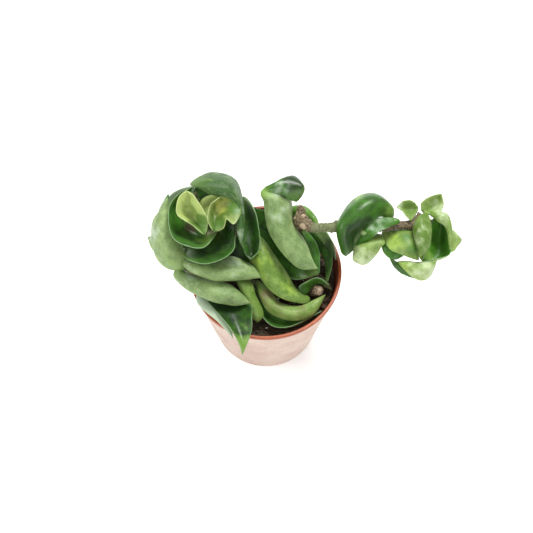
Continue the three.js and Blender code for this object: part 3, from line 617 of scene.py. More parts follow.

# %% [markdown]
# ## Marks on the leaves
# No leaf is one green. Painted shade darkens some where they cup, fold or lie under others, some
# have gone yellow-green in the sun, and some wear a pale bloom of wax that is partly painted
# highlight and sheen, and on shaded leaves painted light. A few are scarred with cork, which on one
# small leaf in shadow is painted shade. Each mark has its kind, the place of its middle in whole
# millimetres, its radius in millimetres and its strength. The kind press is no colour: there the
# blade is pressed in from its upper side, and its strength is the depth in millimetres, or below
# nought where the blade bulges instead.

# %% Marks table
PRESS = "press"
# Painted shade marks darken cups, folds and hidden corners; bloom marks are partly painted highlights
# and sheen
MARKS = {
    "kidney": [
        (PRESS, (49, 6, 90), 6, 2.4), (PRESS, (52, 11, 92), 4, 1),
        (PAINTED_SHADE, (49, 7, 89), 9, 1.5), (PAINTED_SHADE, (53, 13, 93), 5, 1),
        (BLOOM_AND_HIGHLIGHT, (45, 11, 90), 2.5, 0.6), (SUN, (51, 28, 95), 6, 0.6),
        (SUN, (66, 20, 91), 5, 0.6),
    ],
    "long_fold": [
        (PAINTED_SHADE, (16, 31, 105), 7, 1.2), (PAINTED_SHADE, (9, 23, 101), 3, 0.6),
        (SUN, (-2, 26, 103), 6, 0.9), (BLOOM_AND_HIGHLIGHT, (7, 26, 106), 5, 0.55),
        (BLOOM_AND_HIGHLIGHT, (9, 14, 98), 9, 0.4),
    ],
    "front_dark": [
        (SUN, (-12, -49, 68), 8, 1), (SUN, (-9, -37, 71), 5, 0.35),
        (PAINTED_SHADE, (-21, -23, 70), 10, 0.9),
    ],
    # Painted light: strong bloom marks lighten this leaf as bright light would
    "front_pale": [(BLOOM_AND_HIGHLIGHT, (-30, -24, 66), 13, 1.5), (BLOOM_AND_HIGHLIGHT, (-23, -34, 66), 10, 1.3)],
    "young_left": [
        (PRESS, (-40, 21, 103), 2.5, 2), (PRESS, (-40, 15, 101), 3.5, 3),
        (PAINTED_SHADE, (-40, 14, 103), 3, 0.8), (PAINTED_SHADE, (-34, 7, 99), 7, 1),
    ],
    "young_right": [
        (PRESS, (-22, 18, 103), 4, 1.4), (PRESS, (-26, 12, 102), 3.5, 1.4),
        (PAINTED_SHADE, (-15, 16, 104), 6, 1), (PAINTED_SHADE, (-23, 7, 102), 4, 0.9),
        (SUN, (-23, 17, 103), 6, 0.7),
    ],
    "tip_wing": [
        (PAINTED_SHADE, (75, 7, 86), 4, 0.9), (PAINTED_SHADE, (78, 1, 85), 4, 0.9),
        (SUN, (69, 6, 85), 7, 0.6),
    ],
    "tip_front": [
        (BLOOM_AND_HIGHLIGHT, (82, 7, 94), 4, 0.5), (BLOOM_AND_HIGHLIGHT, (81, 3, 92), 5, 0.55),
        (PAINTED_SHADE, (80, 12, 91), 3, 0.6),
    ],
    "tip_bowl": [(PAINTED_SHADE, (92, 11, 81), 8, 0.45), (SUN, (87, 0, 80), 5, 0.7)],
    "outer_left": [
        (SUN, (-49, 4, 92), 8, 0.35), (SUN, (-50, -4, 84), 7, 0.5),
        (BLOOM_AND_HIGHLIGHT, (-59, 10, 88), 6, 0.6), (PRESS, (-50, -1, 88), 4, 1.4),
        (PRESS, (-47, -6, 84), 3, 1), (PAINTED_SHADE, (-47, -3, 86), 2.5, 0.7),
    ],
    "inner_cup": [
        (CORK_AND_SHADE, (-40, 12, 88), 4, 1), (SUN, (-32, 3, 88), 7, 0.8),
        (SUN, (-46, 21, 102), 5, 0.7),
    ],
    "outer_cup": [(CORK_AND_SHADE, (-27, 10, 86), 3, 1)],
    "hood": [
        (BLOOM_AND_HIGHLIGHT, (-13, 16, 100), 5, 0.45), (BLOOM_AND_HIGHLIGHT, (-13, 4, 97), 5, 0.45),
        (SUN, (-31, 28, 109), 7, 0.3),
    ],
    "long_bright": [(SUN, (-2, -4, 81), 9, 0.5), (SUN, (12, -15, 72), 7, 0.5)],
    "low_pale": [
        (CORK_AND_SHADE, (-1, -18, 68), 7, 0.65), (CORK_AND_SHADE, (6, -24, 66), 6, 0.6),
        (CORK_AND_SHADE, (19, -26, 65), 5, 0.5),
    ],
    # Painted shade: a cork mark over the whole leaf darkens it for the shadow it lies in
    "low_small": [(CORK_AND_SHADE, (33, -7, 62), 9, 1)],
    "blade": [(BLOOM_AND_HIGHLIGHT, (60, 13, 92), 9, 0.5)],
    "branch_pale": [(BLOOM_AND_HIGHLIGHT, (52, -3, 80), 8, 0.7), (PRESS, (53, 10, 86), 4, -3)],
    "tip_top": [(BLOOM_AND_HIGHLIGHT, (94, 24, 90), 7, 0.6)],
    "tip_left": [(PAINTED_SHADE, (78, 21, 88), 4, 0.5), (BLOOM_AND_HIGHLIGHT, (72, 26, 90), 3, 0.7)],
    "tip_below": [(BLOOM_AND_HIGHLIGHT, (84, -7, 81), 10, 0.6), (SUN, (74, -8, 78), 6, 0.6)],
    "tip_rim": [(BLOOM_AND_HIGHLIGHT, (95, 17, 93), 6, 0.5)],
    "tip_end": [(SUN, (102, 9, 86), 6, 0.7)],
    "skirt_upper": [(BLOOM_AND_HIGHLIGHT, (-40, -7, 85), 6, 0.4), (BLOOM_AND_HIGHLIGHT, (-16, -5, 82), 9, 0.45)],
    "skirt_lower": [(BLOOM_AND_HIGHLIGHT, (-40, -13, 77), 8, 0.45), (PAINTED_SHADE, (-19, -25, 76), 7, 0.4)],
    "right_boat": [(PAINTED_SHADE, (-8, 18, 92), 7, 0.6)],
    # Painted light: strong bloom marks lighten these leaves where they would fall into shade
    "left_pale": [(BLOOM_AND_HIGHLIGHT, (-50, 23, 95), 12, 1.3), (BLOOM_AND_HIGHLIGHT, (-45, 28, 98), 9, 1.3)],
    "left_dark": [(BLOOM_AND_HIGHLIGHT, (-55, 23, 93), 6, 1.1)],
    "left_tip": [(BLOOM_AND_HIGHLIGHT, (-63, 10, 84), 6, 1.3)],
    "rim_strip": [(PAINTED_SHADE, (35, 9, 70), 9, 0.8)],
    "behind_knob": [(SUN, (26, 27, 80), 7, 0.7)],
}
print("marked leaves:", len(MARKS))

# %% [markdown]
# ## One leaf
# A blade could be drawn flat, bent and thickened. Here a sphere is the better start: its surface
# is already closed, its poles become base and tip, and its two halves become the two faces, so
# margin, thickness and roundness come from one formula. The row points are joined by smooth
# curves, each cross-section bends evenly or folds sharply at the rib, and small waves, a groove
# along the rib and soft dents keep the blade from looking machined.

# %% Curves and shares
TINY = 1e-6


def clamp(value, low=0.0, high=1.0):
    return max(low, min(high, value))


def mix(a, b, share):
    return a + (b - a) * share


def curve_at(points, share):
    """The point and the direction at a share of a smooth curve that runs through the points."""
    spans = len(points) - 1
    place = clamp(share) * spans
    index = min(int(place), spans - 1)
    t = place - index
    start, end = points[index], points[index + 1]
    before = points[index - 1] if index > 0 else 2 * start - end
    after = points[index + 2] if index + 2 <= spans else 2 * end - start
    leave, arrive = (end - before) / 2, (after - start) / 2
    cubic = 2 * start - 2 * end + leave + arrive
    square = 3 * end - 3 * start - 2 * leave - arrive
    point = ((cubic * t + square) * t + leave) * t + start
    return point, ((3 * cubic * t + 2 * square) * t + leave) * spans


def signed_power(value, power):
    return math.copysign(abs(value) ** power, value)


def mark_amount(place, kind, marks):
    """How strong a leaf's marks of one kind are at a place: each fades out from its middle."""
    fades = [
        strength * math.exp(-(((place - metres(centre)).length / (radius * MM)) ** 2))
        for mark_kind, centre, radius, strength in marks if mark_kind == kind
    ]
    return max(fades, default=0.0)


# %% The skin of a blade
LEAF_THICKNESS = 1.8 * MM
TIP_THINNING = 0.35
STALK_SHARE = 0.16
STALK_WIDENING = 1.1 * MM
STALK_THICKENING = 0.3 * MM
BASE_ROUNDING_SHARE = 0.06
TIP_ROUNDING_SHARE = 0.08
FOLD_ROUNDING = 0.2
RIB_DEPTH = 0.22 * MM
RIB_WIDTH = 0.13
DENT_DEPTH = 0.28 * MM
DENT_SIZE = 7 * MM
WAVE_HEIGHT = 0.3 * MM
FULL_WAVE_WIDTH = 10 * MM
WAVES_ALONG = 3.4
WAVE_LAG = 2


def bend_share(across, crease):
    """How far a section has bent away at a share of its half width, and how fast it does there."""
    whole = math.hypot(1, FOLD_ROUNDING) - FOLD_ROUNDING
    slant = math.hypot(across, FOLD_ROUNDING)
    bent = mix(across**2, (slant - FOLD_ROUNDING) / whole, crease)
    return bent, mix(2 * across, across / slant / whole, crease)


def leaf_ring(lines, along):
    """What a whole ring of the blade shares: its rib, half width and bend, and how they change."""
    (left, left_run), (rib, rib_run), (right, right_run) = (curve_at(line, along) for line in lines)
    return {
        "rib": rib, "half": (right - left) / 2, "bend": (left + right) / 2 - rib,
        "rib_run": rib_run, "half_run": (right_run - left_run) / 2,
        "bend_run": (left_run + right_run) / 2 - rib_run,
    }


def blade_point(ring, along, across, face, phase, crease, marks):
    """A point of the skin: across from -1 to 1, face from -1 on the underside to 1 on the upper."""
    bent, bending = bend_share(across, crease)
    point = ring["rib"] + ring["half"] * across + ring["bend"] * bent
    ahead = ring["rib_run"] + ring["half_run"] * across + ring["bend_run"] * bent
    sideways = (ring["half"] + ring["bend"] * bending).normalized()
    up = sideways.cross(ahead).normalized()
    ends = min(
        1.0, math.sqrt(along / BASE_ROUNDING_SHARE), math.sqrt((1 - along) / TIP_ROUNDING_SHARE)
    )
    stalk = ends * max(0.0, 1 - along / STALK_SHARE)
    half_blade = LEAF_THICKNESS / 2 * (1 - TIP_THINNING * along) * ends
    lift = face * (half_blade + stalk * STALK_THICKENING)
    free = ends * clamp((along - STALK_SHARE) / STALK_SHARE)
    rib_line = math.exp(-((across / RIB_WIDTH) ** 2)) * free * (1 - along)
    lift -= RIB_DEPTH * rib_line
    turn = 2 * math.pi * WAVES_ALONG * along + phase + WAVE_LAG * math.copysign(1, across)
    fullness = min(1.0, ring["half"].length / FULL_WAVE_WIDTH)
    lift += WAVE_HEIGHT * fullness * math.sin(turn) * across**2 * free
    lift += DENT_DEPTH * fullness * noise.noise(point / DENT_SIZE + Vector((phase, 0, 0))) * free
    lift -= mark_amount(point, PRESS, marks) * MM * free
    return point + sideways * across * stalk * STALK_WIDENING + up * lift


def keep_piece(name, shape, finish, replaced):
    """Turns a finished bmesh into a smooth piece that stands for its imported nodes."""
    piece = placed_shape(name, shape)
    faces = piece.data.polygons
    faces.foreach_set("use_smooth", [True] * len(faces))
    piece.data.materials.append(finish)
    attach(piece, "root")
    if replaced:
        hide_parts(*replaced)
    return piece


def store_amounts(mesh, amounts):
    """Keeps a number per point under each name, for the finishes to read."""
    for attribute_name, values in amounts.items():
        attribute = mesh.attributes.new(attribute_name, "FLOAT", "POINT")
        attribute.data.foreach_set("value", values)


# %% Leaves
DRAW_SEED = 11
RNG = random.Random(DRAW_SEED)
SIDES_AROUND_BLADE = 44
RINGS_PER_ROW = 12
EVEN_RING_SHARE = 0.4
MARGIN_POWER = 0.75
FACE_POWER = 0.8
POLE_RADIUS = 1e-4
RING_DIGITS = 5


def grow_leaf(name, finish, lightness, base, rows, tip, crease):
    """Moves the points of a sphere onto the blade that the rows of a leaf describe."""
    marks = MARKS.get(name, [])
    lines = [[metres(p) for p in (base, *(row[c] for row in rows), tip)] for c in range(3)]
    rings = RINGS_PER_ROW * (len(rows) + 1)
    phase = RNG.uniform(0, 2 * math.pi)
    shape = bmesh.new()
    bmesh.ops.create_uvsphere(shape, u_segments=SIDES_AROUND_BLADE, v_segments=rings, radius=1)
    shared, measures = {}, []
    for vert in shape.verts:
        ring_share = math.acos(clamp(vert.co.z, -1, 1)) / math.pi
        along = mix(0.5 - 0.5 * math.cos(math.pi * ring_share), ring_share, EVEN_RING_SHARE)
        along = clamp(along, TINY, 1 - TINY)
        radius = math.hypot(vert.co.x, vert.co.y)
        at_pole = radius < POLE_RADIUS
        across = 0.0 if at_pole else signed_power(vert.co.x / radius, MARGIN_POWER)
        face = 0.0 if at_pole else signed_power(vert.co.y / radius, FACE_POWER)
        key = round(along, RING_DIGITS)
        if key not in shared:
            shared[key] = leaf_ring(lines, along)
        vert.co = blade_point(shared[key], along, across, face, phase, crease, marks)
        measures += (face, across, along)
    bmesh.ops.recalc_face_normals(shape, faces=shape.faces)
    node_name = "leaf_" + name
    piece = keep_piece(name + "_leaf", shape, finish, [node_name])
    leaf = piece.data.attributes.new("leaf", "FLOAT_VECTOR", "POINT")
    leaf.data.foreach_set("vector", measures)
    places = [vert.co for vert in piece.data.vertices]
    amounts = {kind: [mark_amount(p, kind, marks) for p in places] for kind in MARK_KINDS}
    store_amounts(piece.data, {"lightness": [lightness] * len(places), **amounts})
    return piece


leaf_pieces = [grow_leaf(*leaf) for leaf in LEAVES]
print("leaf faces:", sum(len(piece.data.polygons) for piece in leaf_pieces))

# %% [markdown]
# ## Bark
# The stems are young wood: grey-green where they are fresh, brown and corky where they are old,
# with fine cracks and with pale round scars where leaves have dropped. The age and the scars come
# from attributes that the stem's maker below writes, the cracks from noise.

# %% Bark
CRACK_SIZE = 0.8 * MM
CRACK_DEPTH = 0.5 * MM
PATCH_SIZE = 5 * MM

# Cork scatters light, so the stems stay matt, and its cracks show as dark threads
BARK, bark_tree, bark_shader = new_finish("corky bark of a wax plant stem", {"Roughness": 0.75})
bark_place = add(bark_tree, "TexCoord", output="Object")
bark_cracks = add(
    bark_tree, "TexNoise", {"Scale": 1 / CRACK_SIZE, "Detail": 4.0, "Roughness": 0.7},
    {"Vector": bark_place},
)
bark_relief = add(
    bark_tree, "MapRange", {"From Min": 0.36, "From Max": 0.64}, {"Value": bark_cracks}
)
bark_patches = add(
    bark_tree, "TexNoise", {"Scale": 1 / PATCH_SIZE, "Detail": 3.0}, {"Vector": bark_place}
)
bark_age, bark_scar = (
    add(bark_tree, "Attribute", {"attribute_name": name}, output="Fac") for name in ("age", "scar")
)
fresh_skin, old_skin = (
    add(
        bark_tree, "Mix", {"data_type": "RGBA", MIX_A: dark, MIX_B: light},
        {"Factor": bark_relief}, MIX_RESULT,
    )
    for dark, light in (("#515e36", "#8b9068"), ("#2c2215", "#9a8667"))
)
patchy_age = add(bark_tree, "Math", {"operation": "ADD"}, {0: bark_age, 1: bark_patches})
how_old = add(
    bark_tree, "MapRange", {"interpolation_type": "SMOOTHSTEP", "From Min": 0.7, "From Max": 1.3},
    {"Value": patchy_age},
)
skin_colour = add(
    bark_tree, "Mix", {"data_type": "RGBA"},
    {"Factor": how_old, MIX_A: fresh_skin, MIX_B: old_skin}, MIX_RESULT,
)
scarred = add(
    bark_tree, "Mix", {"data_type": "RGBA", MIX_B: "#bfa88c"},
    {"Factor": bark_scar, MIX_A: skin_colour}, MIX_RESULT,
)
bark_tree.links.new(scarred, bark_shader.inputs["Base Color"])
bark_bump = add(bark_tree, "Bump", {"Strength": 0.6, "Distance": CRACK_DEPTH}, {"Height": bark_cracks})
bark_tree.links.new(bark_bump, bark_shader.inputs["Normal"])
print("bark:", len(bark_tree.nodes), "nodes")

# %% [markdown]
# ## Stems
# Each stem is tubes and lumps that grew into one another. The end face of a small disc is
# extruded along the path, ring by ring, and a voxel remesh then fuses the overlapping tubes
# into one skin. After that the skin is swollen at the nodes, pitted with noise, and told where
# it is old and where a leaf has left its scar.

# %% Tubes and lumps
STEM_SIDES = 14
STEM_STEP = 1.2 * MM
SKIN_VOXEL = 0.42 * MM


def grow_tube(shape, points, radii):
    """Extrudes a disc along a smooth curve, its radius running through the given values."""
    path = [metres(p) for p in points]
    length = sum((b - a).length for a, b in zip(path, path[1:]))
    steps = math.ceil(length / STEM_STEP)
    disc = bmesh.ops.create_circle(shape, cap_ends=True, segments=STEM_SIDES, radius=1)["verts"]
    end = disc[0].link_faces[0]
    frame_before = Matrix.Identity(4)
    turn = Vector((0, 0, 1)).rotation_difference(curve_at(path, 0)[1])
    for step in range(steps + 1):
        share = step / steps
        place, run = curve_at(path, share)
        turn = (turn @ Vector((0, 0, 1))).rotation_difference(run) @ turn
        radius = curve_at([Vector((r, 0, 0)) for r in radii], share)[0].x * MM
        frame_now = Matrix.Translation(place) @ turn.to_matrix().to_4x4() @ Matrix.Scale(radius, 4)
        if step > 0:
            end = bmesh.ops.extrude_discrete_faces(shape, faces=[end])["faces"][0]
        move = frame_now @ frame_before.inverted()
        bmesh.ops.transform(shape, matrix=move, verts=list(end.verts))
        frame_before = frame_now
    bmesh.ops.holes_fill(shape, edges=[edge for edge in shape.edges if edge.is_boundary])


def grow_lump(shape, centre, radius):
    """Adds a ball that the remesh melts into the tubes round it."""
    lump = bmesh.ops.create_icosphere(shape, subdivisions=3, radius=radius * MM)["verts"]
    bmesh.ops.translate(shape, vec=metres(centre), verts=lump)


def fused(shape):
    """One closed skin round all the shells of a bmesh."""
    bmesh.ops.recalc_face_normals(shape, faces=shape.faces)
    shells = placed_shape("shells", shape)
    remesh = shells.modifiers.new("skin", "REMESH")
    remesh.mode = "VOXEL"
    remesh.voxel_size = SKIN_VOXEL
    skin = bmesh.new()
    skin.from_object(shells, bpy.context.evaluated_depsgraph_get())
    bpy.data.objects.remove(shells)
    return skin


# %% The skin of a stem
SMOOTHINGS = 2
PIT_DEPTH = 0.55 * MM
PIT_SIZE = 1.5 * MM
PIT_FADING = 0.8
PIT_REFINING = 2.0
PIT_LAYERS = 3
NODE_SWELLING = 0.5 * MM
NODE_REACH = 3.9 * MM
SCAR_LIP = 0.25 * MM
SCAR_DULLNESS = 0.35


def node_amount(distance):
    """How swollen a stem is near a node: fully in the middle, and hardly beyond the reach."""
    return math.exp(-((distance / NODE_REACH) ** 4))


def scar_amount(reach):
    """A leaf's scar at a share of its radius: dull out to a fifth, a pale lip from 0.7 on, and
    bark again from 1.14."""
    return clamp(4 - 3.5 * reach) * mix(SCAR_DULLNESS, 1, clamp(2 * reach - 0.4))


def grow_stem(name, node_name, tubes, lumps, nodes, scars, age_at):
    """Fuses a stem's tubes and lumps and gives the skin its swellings, pits, scars and age."""
    shape = bmesh.new()
    for points, radii in tubes:
        grow_tube(shape, points, radii)
    for centre, radius in lumps:
        grow_lump(shape, centre, radius)
    skin = fused(shape)
    for _ in range(SMOOTHINGS):
        bmesh.ops.smooth_vert(
            skin, verts=skin.verts, factor=0.5, use_axis_x=True, use_axis_y=True, use_axis_z=True
        )
    skin.normal_update()
    ages, marks = [], []
    for vert in skin.verts:
        place = vert.co.copy()
        near_node = max(node_amount((place - metres(n)).length) for n in nodes)
        mark = max(scar_amount((place - metres(s)).length / (r * MM)) for s, r in scars)
        pits = noise.fractal(place / PIT_SIZE, PIT_FADING, PIT_REFINING, PIT_LAYERS)
        lift = PIT_DEPTH * pits * (1 - mark) + NODE_SWELLING * near_node + SCAR_LIP * mark
        vert.co += vert.normal * lift
        ages.append(age_at(place))
        marks.append(mark)
    piece = keep_piece(name, skin, BARK, [node_name])
    store_amounts(piece.data, {"age": ages, "scar": marks})
    print(name, "faces:", len(piece.data.polygons))


# %% Stem paths
HEAD_TUBES = [
    ([(-8, 2, 46), (-12, -3, 60), (-24, -6, 68), (-36, -8, 74), (-43, -4, 79), (-40, 6, 79),
      (-31, 13, 83), (-26, 13, 89), (-29, 10, 93), (-34, 17, 96), (-38, 26, 102)],
     [2.6, 2.6, 2.5, 2.4, 2.3, 2.3, 2.2, 2, 1.8, 1.6, 1.4]),
    ([(-29, 10, 93), (-27, 7, 95), (-31, 4, 96)], [1.7, 1.5, 1.3]),
    ([(-12, -3, 60), (-8, -6, 61), (-5, -8, 63)], [1.8, 1.6, 1.4]),
    ([(-27, 13, 87), (-20, 18, 84), (-15, 21, 83), (-11, 24, 92)], [1.8, 1.7, 1.6, 1.4]),
]
BRANCH_TUBES = [
    ([(19, 21, 46), (20, 20, 68), (19, 18, 82), (18, 16, 88), (19, 15, 93), (24, 10, 93),
      (39, 13, 88), (54, 14, 86), (64, 15, 86), (79, 16, 86), (88, 19, 86)],
     [3, 3, 3.2, 3.6, 3.6, 2.6, 2.4, 2.3, 2.2, 2.1, 1.8]),
    ([(18, 15, 93), (19, 19, 96), (18, 21, 97)], [1.8, 1.6, 1.4]),
    ([(37, 13, 88), (38, 14, 92)], [1.4, 1.2]),
    ([(78, 16, 86), (82, 20, 86), (84, 23, 87)], [1.7, 1.5, 1.3]),
    ([(84, 17, 86), (85, 13, 79), (91, 9, 73), (98, 9, 73)], [1.8, 1.6, 1.5, 1.3]),
    ([(89, 10, 74), (92, 4, 73), (91, -2, 77)], [1.5, 1.4, 1.3]),
]
KNOB_LUMPS = [((19, 15, 92), 4), ((22, 12, 93), 3), ((19, 17, 88), 3.4), ((19, 19, 95), 2.4)]
STUB_TUBES = [
    ([(25, -9, 46), (26, -10, 54), (28, -11, 59), (29, -12, 63)], [2.4, 2.4, 2.6, 3]),
    ([(26, -10, 57), (27, -6, 60), (28, -3, 64)], [1.7, 1.5, 1.3]),
]
HEAD_AGE = 0.2
STUB_AGE = 1.0
BRANCH_FRESHEST, BRANCH_OLDEST = 0.15, 0.8
# Where along X the knob's old bark ends and the tip's browning begins, and how long each takes
KNOB_END, KNOB_FADE = 20 * MM, 9 * MM
BROWNING_START, BROWNING_LENGTH = 34 * MM, 18 * MM


def branch_age(place):
    """Old at the knob, fresh along the bare stretch, and brown again towards the tip."""
    past_knob = 1 - (place.x - KNOB_END) / KNOB_FADE
    toward_tip = (place.x - BROWNING_START) / BROWNING_LENGTH
    return clamp(max(past_knob, toward_tip), BRANCH_FRESHEST, BRANCH_OLDEST)


grow_stem(
    "head_stem_bark", "head_stem", HEAD_TUBES, [],
    nodes=[(-42, -2, 79), (-31, 13, 83), (-24, -6, 68)],
    scars=[((-36, 27, 102), 1.5), ((-28, 15, 91), 1.5)],
    age_at=lambda place: HEAD_AGE,
)
grow_stem(
    "branch_stem_bark", "branch_stem", BRANCH_TUBES, KNOB_LUMPS,
    nodes=[(38, 13, 88), (79, 16, 86), (62, 15, 86)],
    scars=[((20, 10, 94), 1.9), ((20, 15, 96), 1.1), ((16, 18, 95), 1.1), ((16, 15, 94), 0.9)],
    age_at=branch_age,
)
grow_stem(
    "stem_stub_bark", "stem_stub", STUB_TUBES, [],
    nodes=[(25, -11, 59)],
    scars=[((30, -12, 65), 2.4)],
    age_at=lambda place: STUB_AGE,
)

# %% [markdown]
# ## The pot
# A nursery pot is moulded from terracotta-coloured plastic: a thin tapered wall under a rolled
# rim. Its profile is drawn once as a chain of edges and spun round, and the drain holes are cut
# with a Boolean. The outer wall is painted a pale pinkish beige that stands for bright light washing
# it out, the rim keeps the plastic's orange, and the inside is damp and darkened with painted shade,
# so each gets a finish of its own.

# %% Pot finishes
WEAR_SIZE = 14 * MM


def grainy(name, tones, roughness, layers, spread, relief):
    """A surface that runs from a dark to a light tone as noises of real sizes, added up, cross a
    spread. The last of them also gives its relief, of a strength and a depth."""
    material, tree, shader = new_finish(name, {"Roughness": roughness})
    place = add(tree, "TexCoord", output="Object")
    total = None
    for size, detail, coarseness in layers:
        settings = {"Scale": 1 / size, "Detail": detail, "Roughness": coarseness}
        grain = add(tree, "TexNoise", settings, {"Vector": place})
        both = {0: total, 1: grain}
        total = grain if total is None else add(tree, "Math", {"operation": "ADD"}, both)
    share = add(tree, "MapRange", {"From Min": spread[0], "From Max": spread[1]}, {"Value": total})
    colours = {"data_type": "RGBA", MIX_A: tones[0], MIX_B: tones[1]}
    colour = add(tree, "Mix", colours, {"Factor": share}, MIX_RESULT)
    tree.links.new(colour, shader.inputs["Base Color"])
    bump = add(tree, "Bump", {"Strength": relief[0], "Distance": relief[1]}, {"Height": grain})
    tree.links.new(bump, shader.inputs["Normal"])
    return material


def moulded_plastic(name, dark, light, roughness, speck_size):
    """Plastic with soft cloudy wear and a fine grain."""
    layers = [(WEAR_SIZE, 5.0, 0.5), (speck_size, 2.0, 0.5)]
    return grainy(
        name, (dark, light), roughness, layers, spread=(0.75, 1.25), relief=(0.15, 0.1 * MM)
    )


# The outer wall is painted pale to stand for bright light washing it out: cloudy, nearly without shine
POT_OUTSIDE = moulded_plastic("polypropylene, painted washed-out light", "#c0a293", "#d5c2b4", 0.7, 0.9 * MM)
# The rim shows the plastic's own colour: orange-brown with a soft shine
POT_RIM = moulded_plastic("terracotta polypropylene", "#94431d", "#ae562a", 0.45, 0.6 * MM)
# The inside is damp, and its brown is darker and blotchier, partly painted shade for the leaves over it
POT_INSIDE = moulded_plastic("damp polypropylene, painted shade", "#58281a", "#8c432b", 0.6, 1.2 * MM)
print("pot finishes:", [finish.name for finish in (POT_OUTSIDE, POT_RIM, POT_INSIDE)])

# %% Pot shape
POT_HEIGHT = 65 * MM
RIM_RADIUS = 42 * MM
BASE_RADIUS = 30.5 * MM
WALL = 1 * MM
FLOOR_THICKNESS = 2 * MM
RIM_BAND = 2 * MM
RIM_OVERHANG = 0.6 * MM
POT_SEGMENTS = 128
EDGE_ROUNDING = 0.25 * MM
SHARP_FROM = math.radians(25)
MERGE_DISTANCE = 1e-5

wall_top = RIM_RADIUS - RIM_OVERHANG
band_bottom = POT_HEIGHT - RIM_BAND
pot_profile = [
    (BASE_RADIUS, 0), (wall_top, band_bottom), (RIM_RADIUS, band_bottom),
    (RIM_RADIUS, POT_HEIGHT), (wall_top - WALL, POT_HEIGHT), (BASE_RADIUS - WALL, FLOOR_THICKNESS),
]

pot_shape = bmesh.new()
corners = [pot_shape.verts.new((0, 0, 0))]
corners += [pot_shape.verts.new((radius, 0, height)) for radius, height in pot_profile]
corners.append(pot_shape.verts.new((0, 0, FLOOR_THICKNESS)))
chain = [pot_shape.edges.new(pair) for pair in zip(corners, corners[1:])]
bmesh.ops.spin(
    pot_shape, geom=corners + chain, cent=(0, 0, 0), axis=(0, 0, 1), dvec=(0, 0, 0),
    angle=2 * math.pi, steps=POT_SEGMENTS, use_merge=True, use_duplicate=False,
)
bmesh.ops.remove_doubles(pot_shape, verts=pot_shape.verts, dist=MERGE_DISTANCE)
bmesh.ops.recalc_face_normals(pot_shape, faces=pot_shape.faces)
sharp = [
    edge for edge in pot_shape.edges
    if len(edge.link_faces) == 2 and edge.calc_face_angle() > SHARP_FROM
]
bmesh.ops.bevel(
    pot_shape, geom=sharp, offset=EDGE_ROUNDING, offset_type="OFFSET", affect="EDGES",
    segments=3, profile=0.5, material=-1,
)
print("pot rim:", round(2 * RIM_RADIUS / MM), "mm across")

# %% Finishes on the pot
OUTSIDE, RIM, INSIDE = 0, 1, 2
FACING = 0.5


def pot_zone(face):
    """Outside, rim or inside, told from where a face lies and which way it looks."""
    centre = face.calc_center_median()
    reach = centre.xy.length
    if centre.z > band_bottom - EDGE_ROUNDING and reach > wall_top - WALL - EDGE_ROUNDING:
        return RIM
    outward = Vector((centre.x, centre.y, 0)).normalized() if reach > TINY else Vector()
    looks_in = face.normal.dot(outward) < -FACING
    is_floor_top = face.normal.z > FACING and centre.z > FLOOR_THICKNESS / 2
    return INSIDE if looks_in or is_floor_top else OUTSIDE


for face in pot_shape.faces:
    face.material_index = pot_zone(face)
pot = keep_piece("nursery_pot", pot_shape, POT_OUTSIDE, ["pot"])
for finish in (POT_RIM, POT_INSIDE):
    pot.data.materials.append(finish)
print("pot finishes used:", len(pot.data.materials))

# %% Drain holes
DRAIN_HOLES = 6
DRAIN_HOLE_RADIUS = 3 * MM
DRAIN_CIRCLE_RADIUS = 19 * MM
DRILL_SEGMENTS = 24
DRILL_DEPTH = 3 * FLOOR_THICKNESS

drill_shape = bmesh.new()
for index in range(DRAIN_HOLES):
    angle = 2 * math.pi * index / DRAIN_HOLES
    place = Matrix.Translation(
        (DRAIN_CIRCLE_RADIUS * math.cos(angle), DRAIN_CIRCLE_RADIUS * math.sin(angle), 0)
    )
    bmesh.ops.create_cone(
        drill_shape, cap_ends=True, segments=DRILL_SEGMENTS, radius1=DRAIN_HOLE_RADIUS,
        radius2=DRAIN_HOLE_RADIUS, depth=DRILL_DEPTH, matrix=place,
    )
drill = placed_shape("drill", drill_shape)
cut = pot.modifiers.new("drain holes", "BOOLEAN")
cut.operation = "DIFFERENCE"
cut.solver = "EXACT"
cut.object = drill
drilled = bpy.data.meshes.new_from_object(pot.evaluated_get(bpy.context.evaluated_depsgraph_get()))
pot.modifiers.clear()
pot.data = drilled
bpy.data.objects.remove(drill)
print("pot faces:", len(pot.data.polygons))

# %% [markdown]
# ## The potting mix
# The pot is filled with a peaty mix: dark crumbs and fibres with bits of bark and white perlite.
# The body is a disc extruded down to the pot's floor, its top pushed about by noise. The loose
# bits are small lumps scattered by a seeded draw, so that every run lays them out alike.

# %% Soil finishes
def granular(name, dark, light, grain_size, roughness):
    """A crumbly stuff with dark gaps between lighter grains."""
    layers = [(grain_size, 4.0, 0.65)]
    return grainy(
        name, (dark, light), roughness, layers, spread=(0.35, 0.7), relief=(0.8, 0.4 * MM)
    )


# Damp peat swallows light: nearly black, with brown crumbs
PEAT = granular("damp peat, fine crumbs", "#1a150d", "#55482f", 1.1 * MM, 0.85)
# Bark chips are redder and a little lighter than the peat
BARK_CHIP = granular("composted bark chips", "#2a1a11", "#6b4a31", 1.5 * MM, 0.8)
# Perlite is blown volcanic glass, full of pores: matt white specks
PERLITE = granular("expanded perlite", "#cfc6bb", "#f4eeea", 0.8 * MM, 0.8)
print("soil finishes:", [finish.name for finish in (PEAT, BARK_CHIP, PERLITE)])

# %% Soil surface
SOIL_TOP = 57 * MM
SOIL_CLEARANCE = 0.5 * MM
CLOD_HEIGHT = 1.3 * MM
CLOD_SIZE = 3.2 * MM
CRUMB_HEIGHT = 0.5 * MM
CRUMB_SIZE = 1.0 * MM
CRUMB_LAYER = 5
LEVEL_AT_WALL = 3 * MM


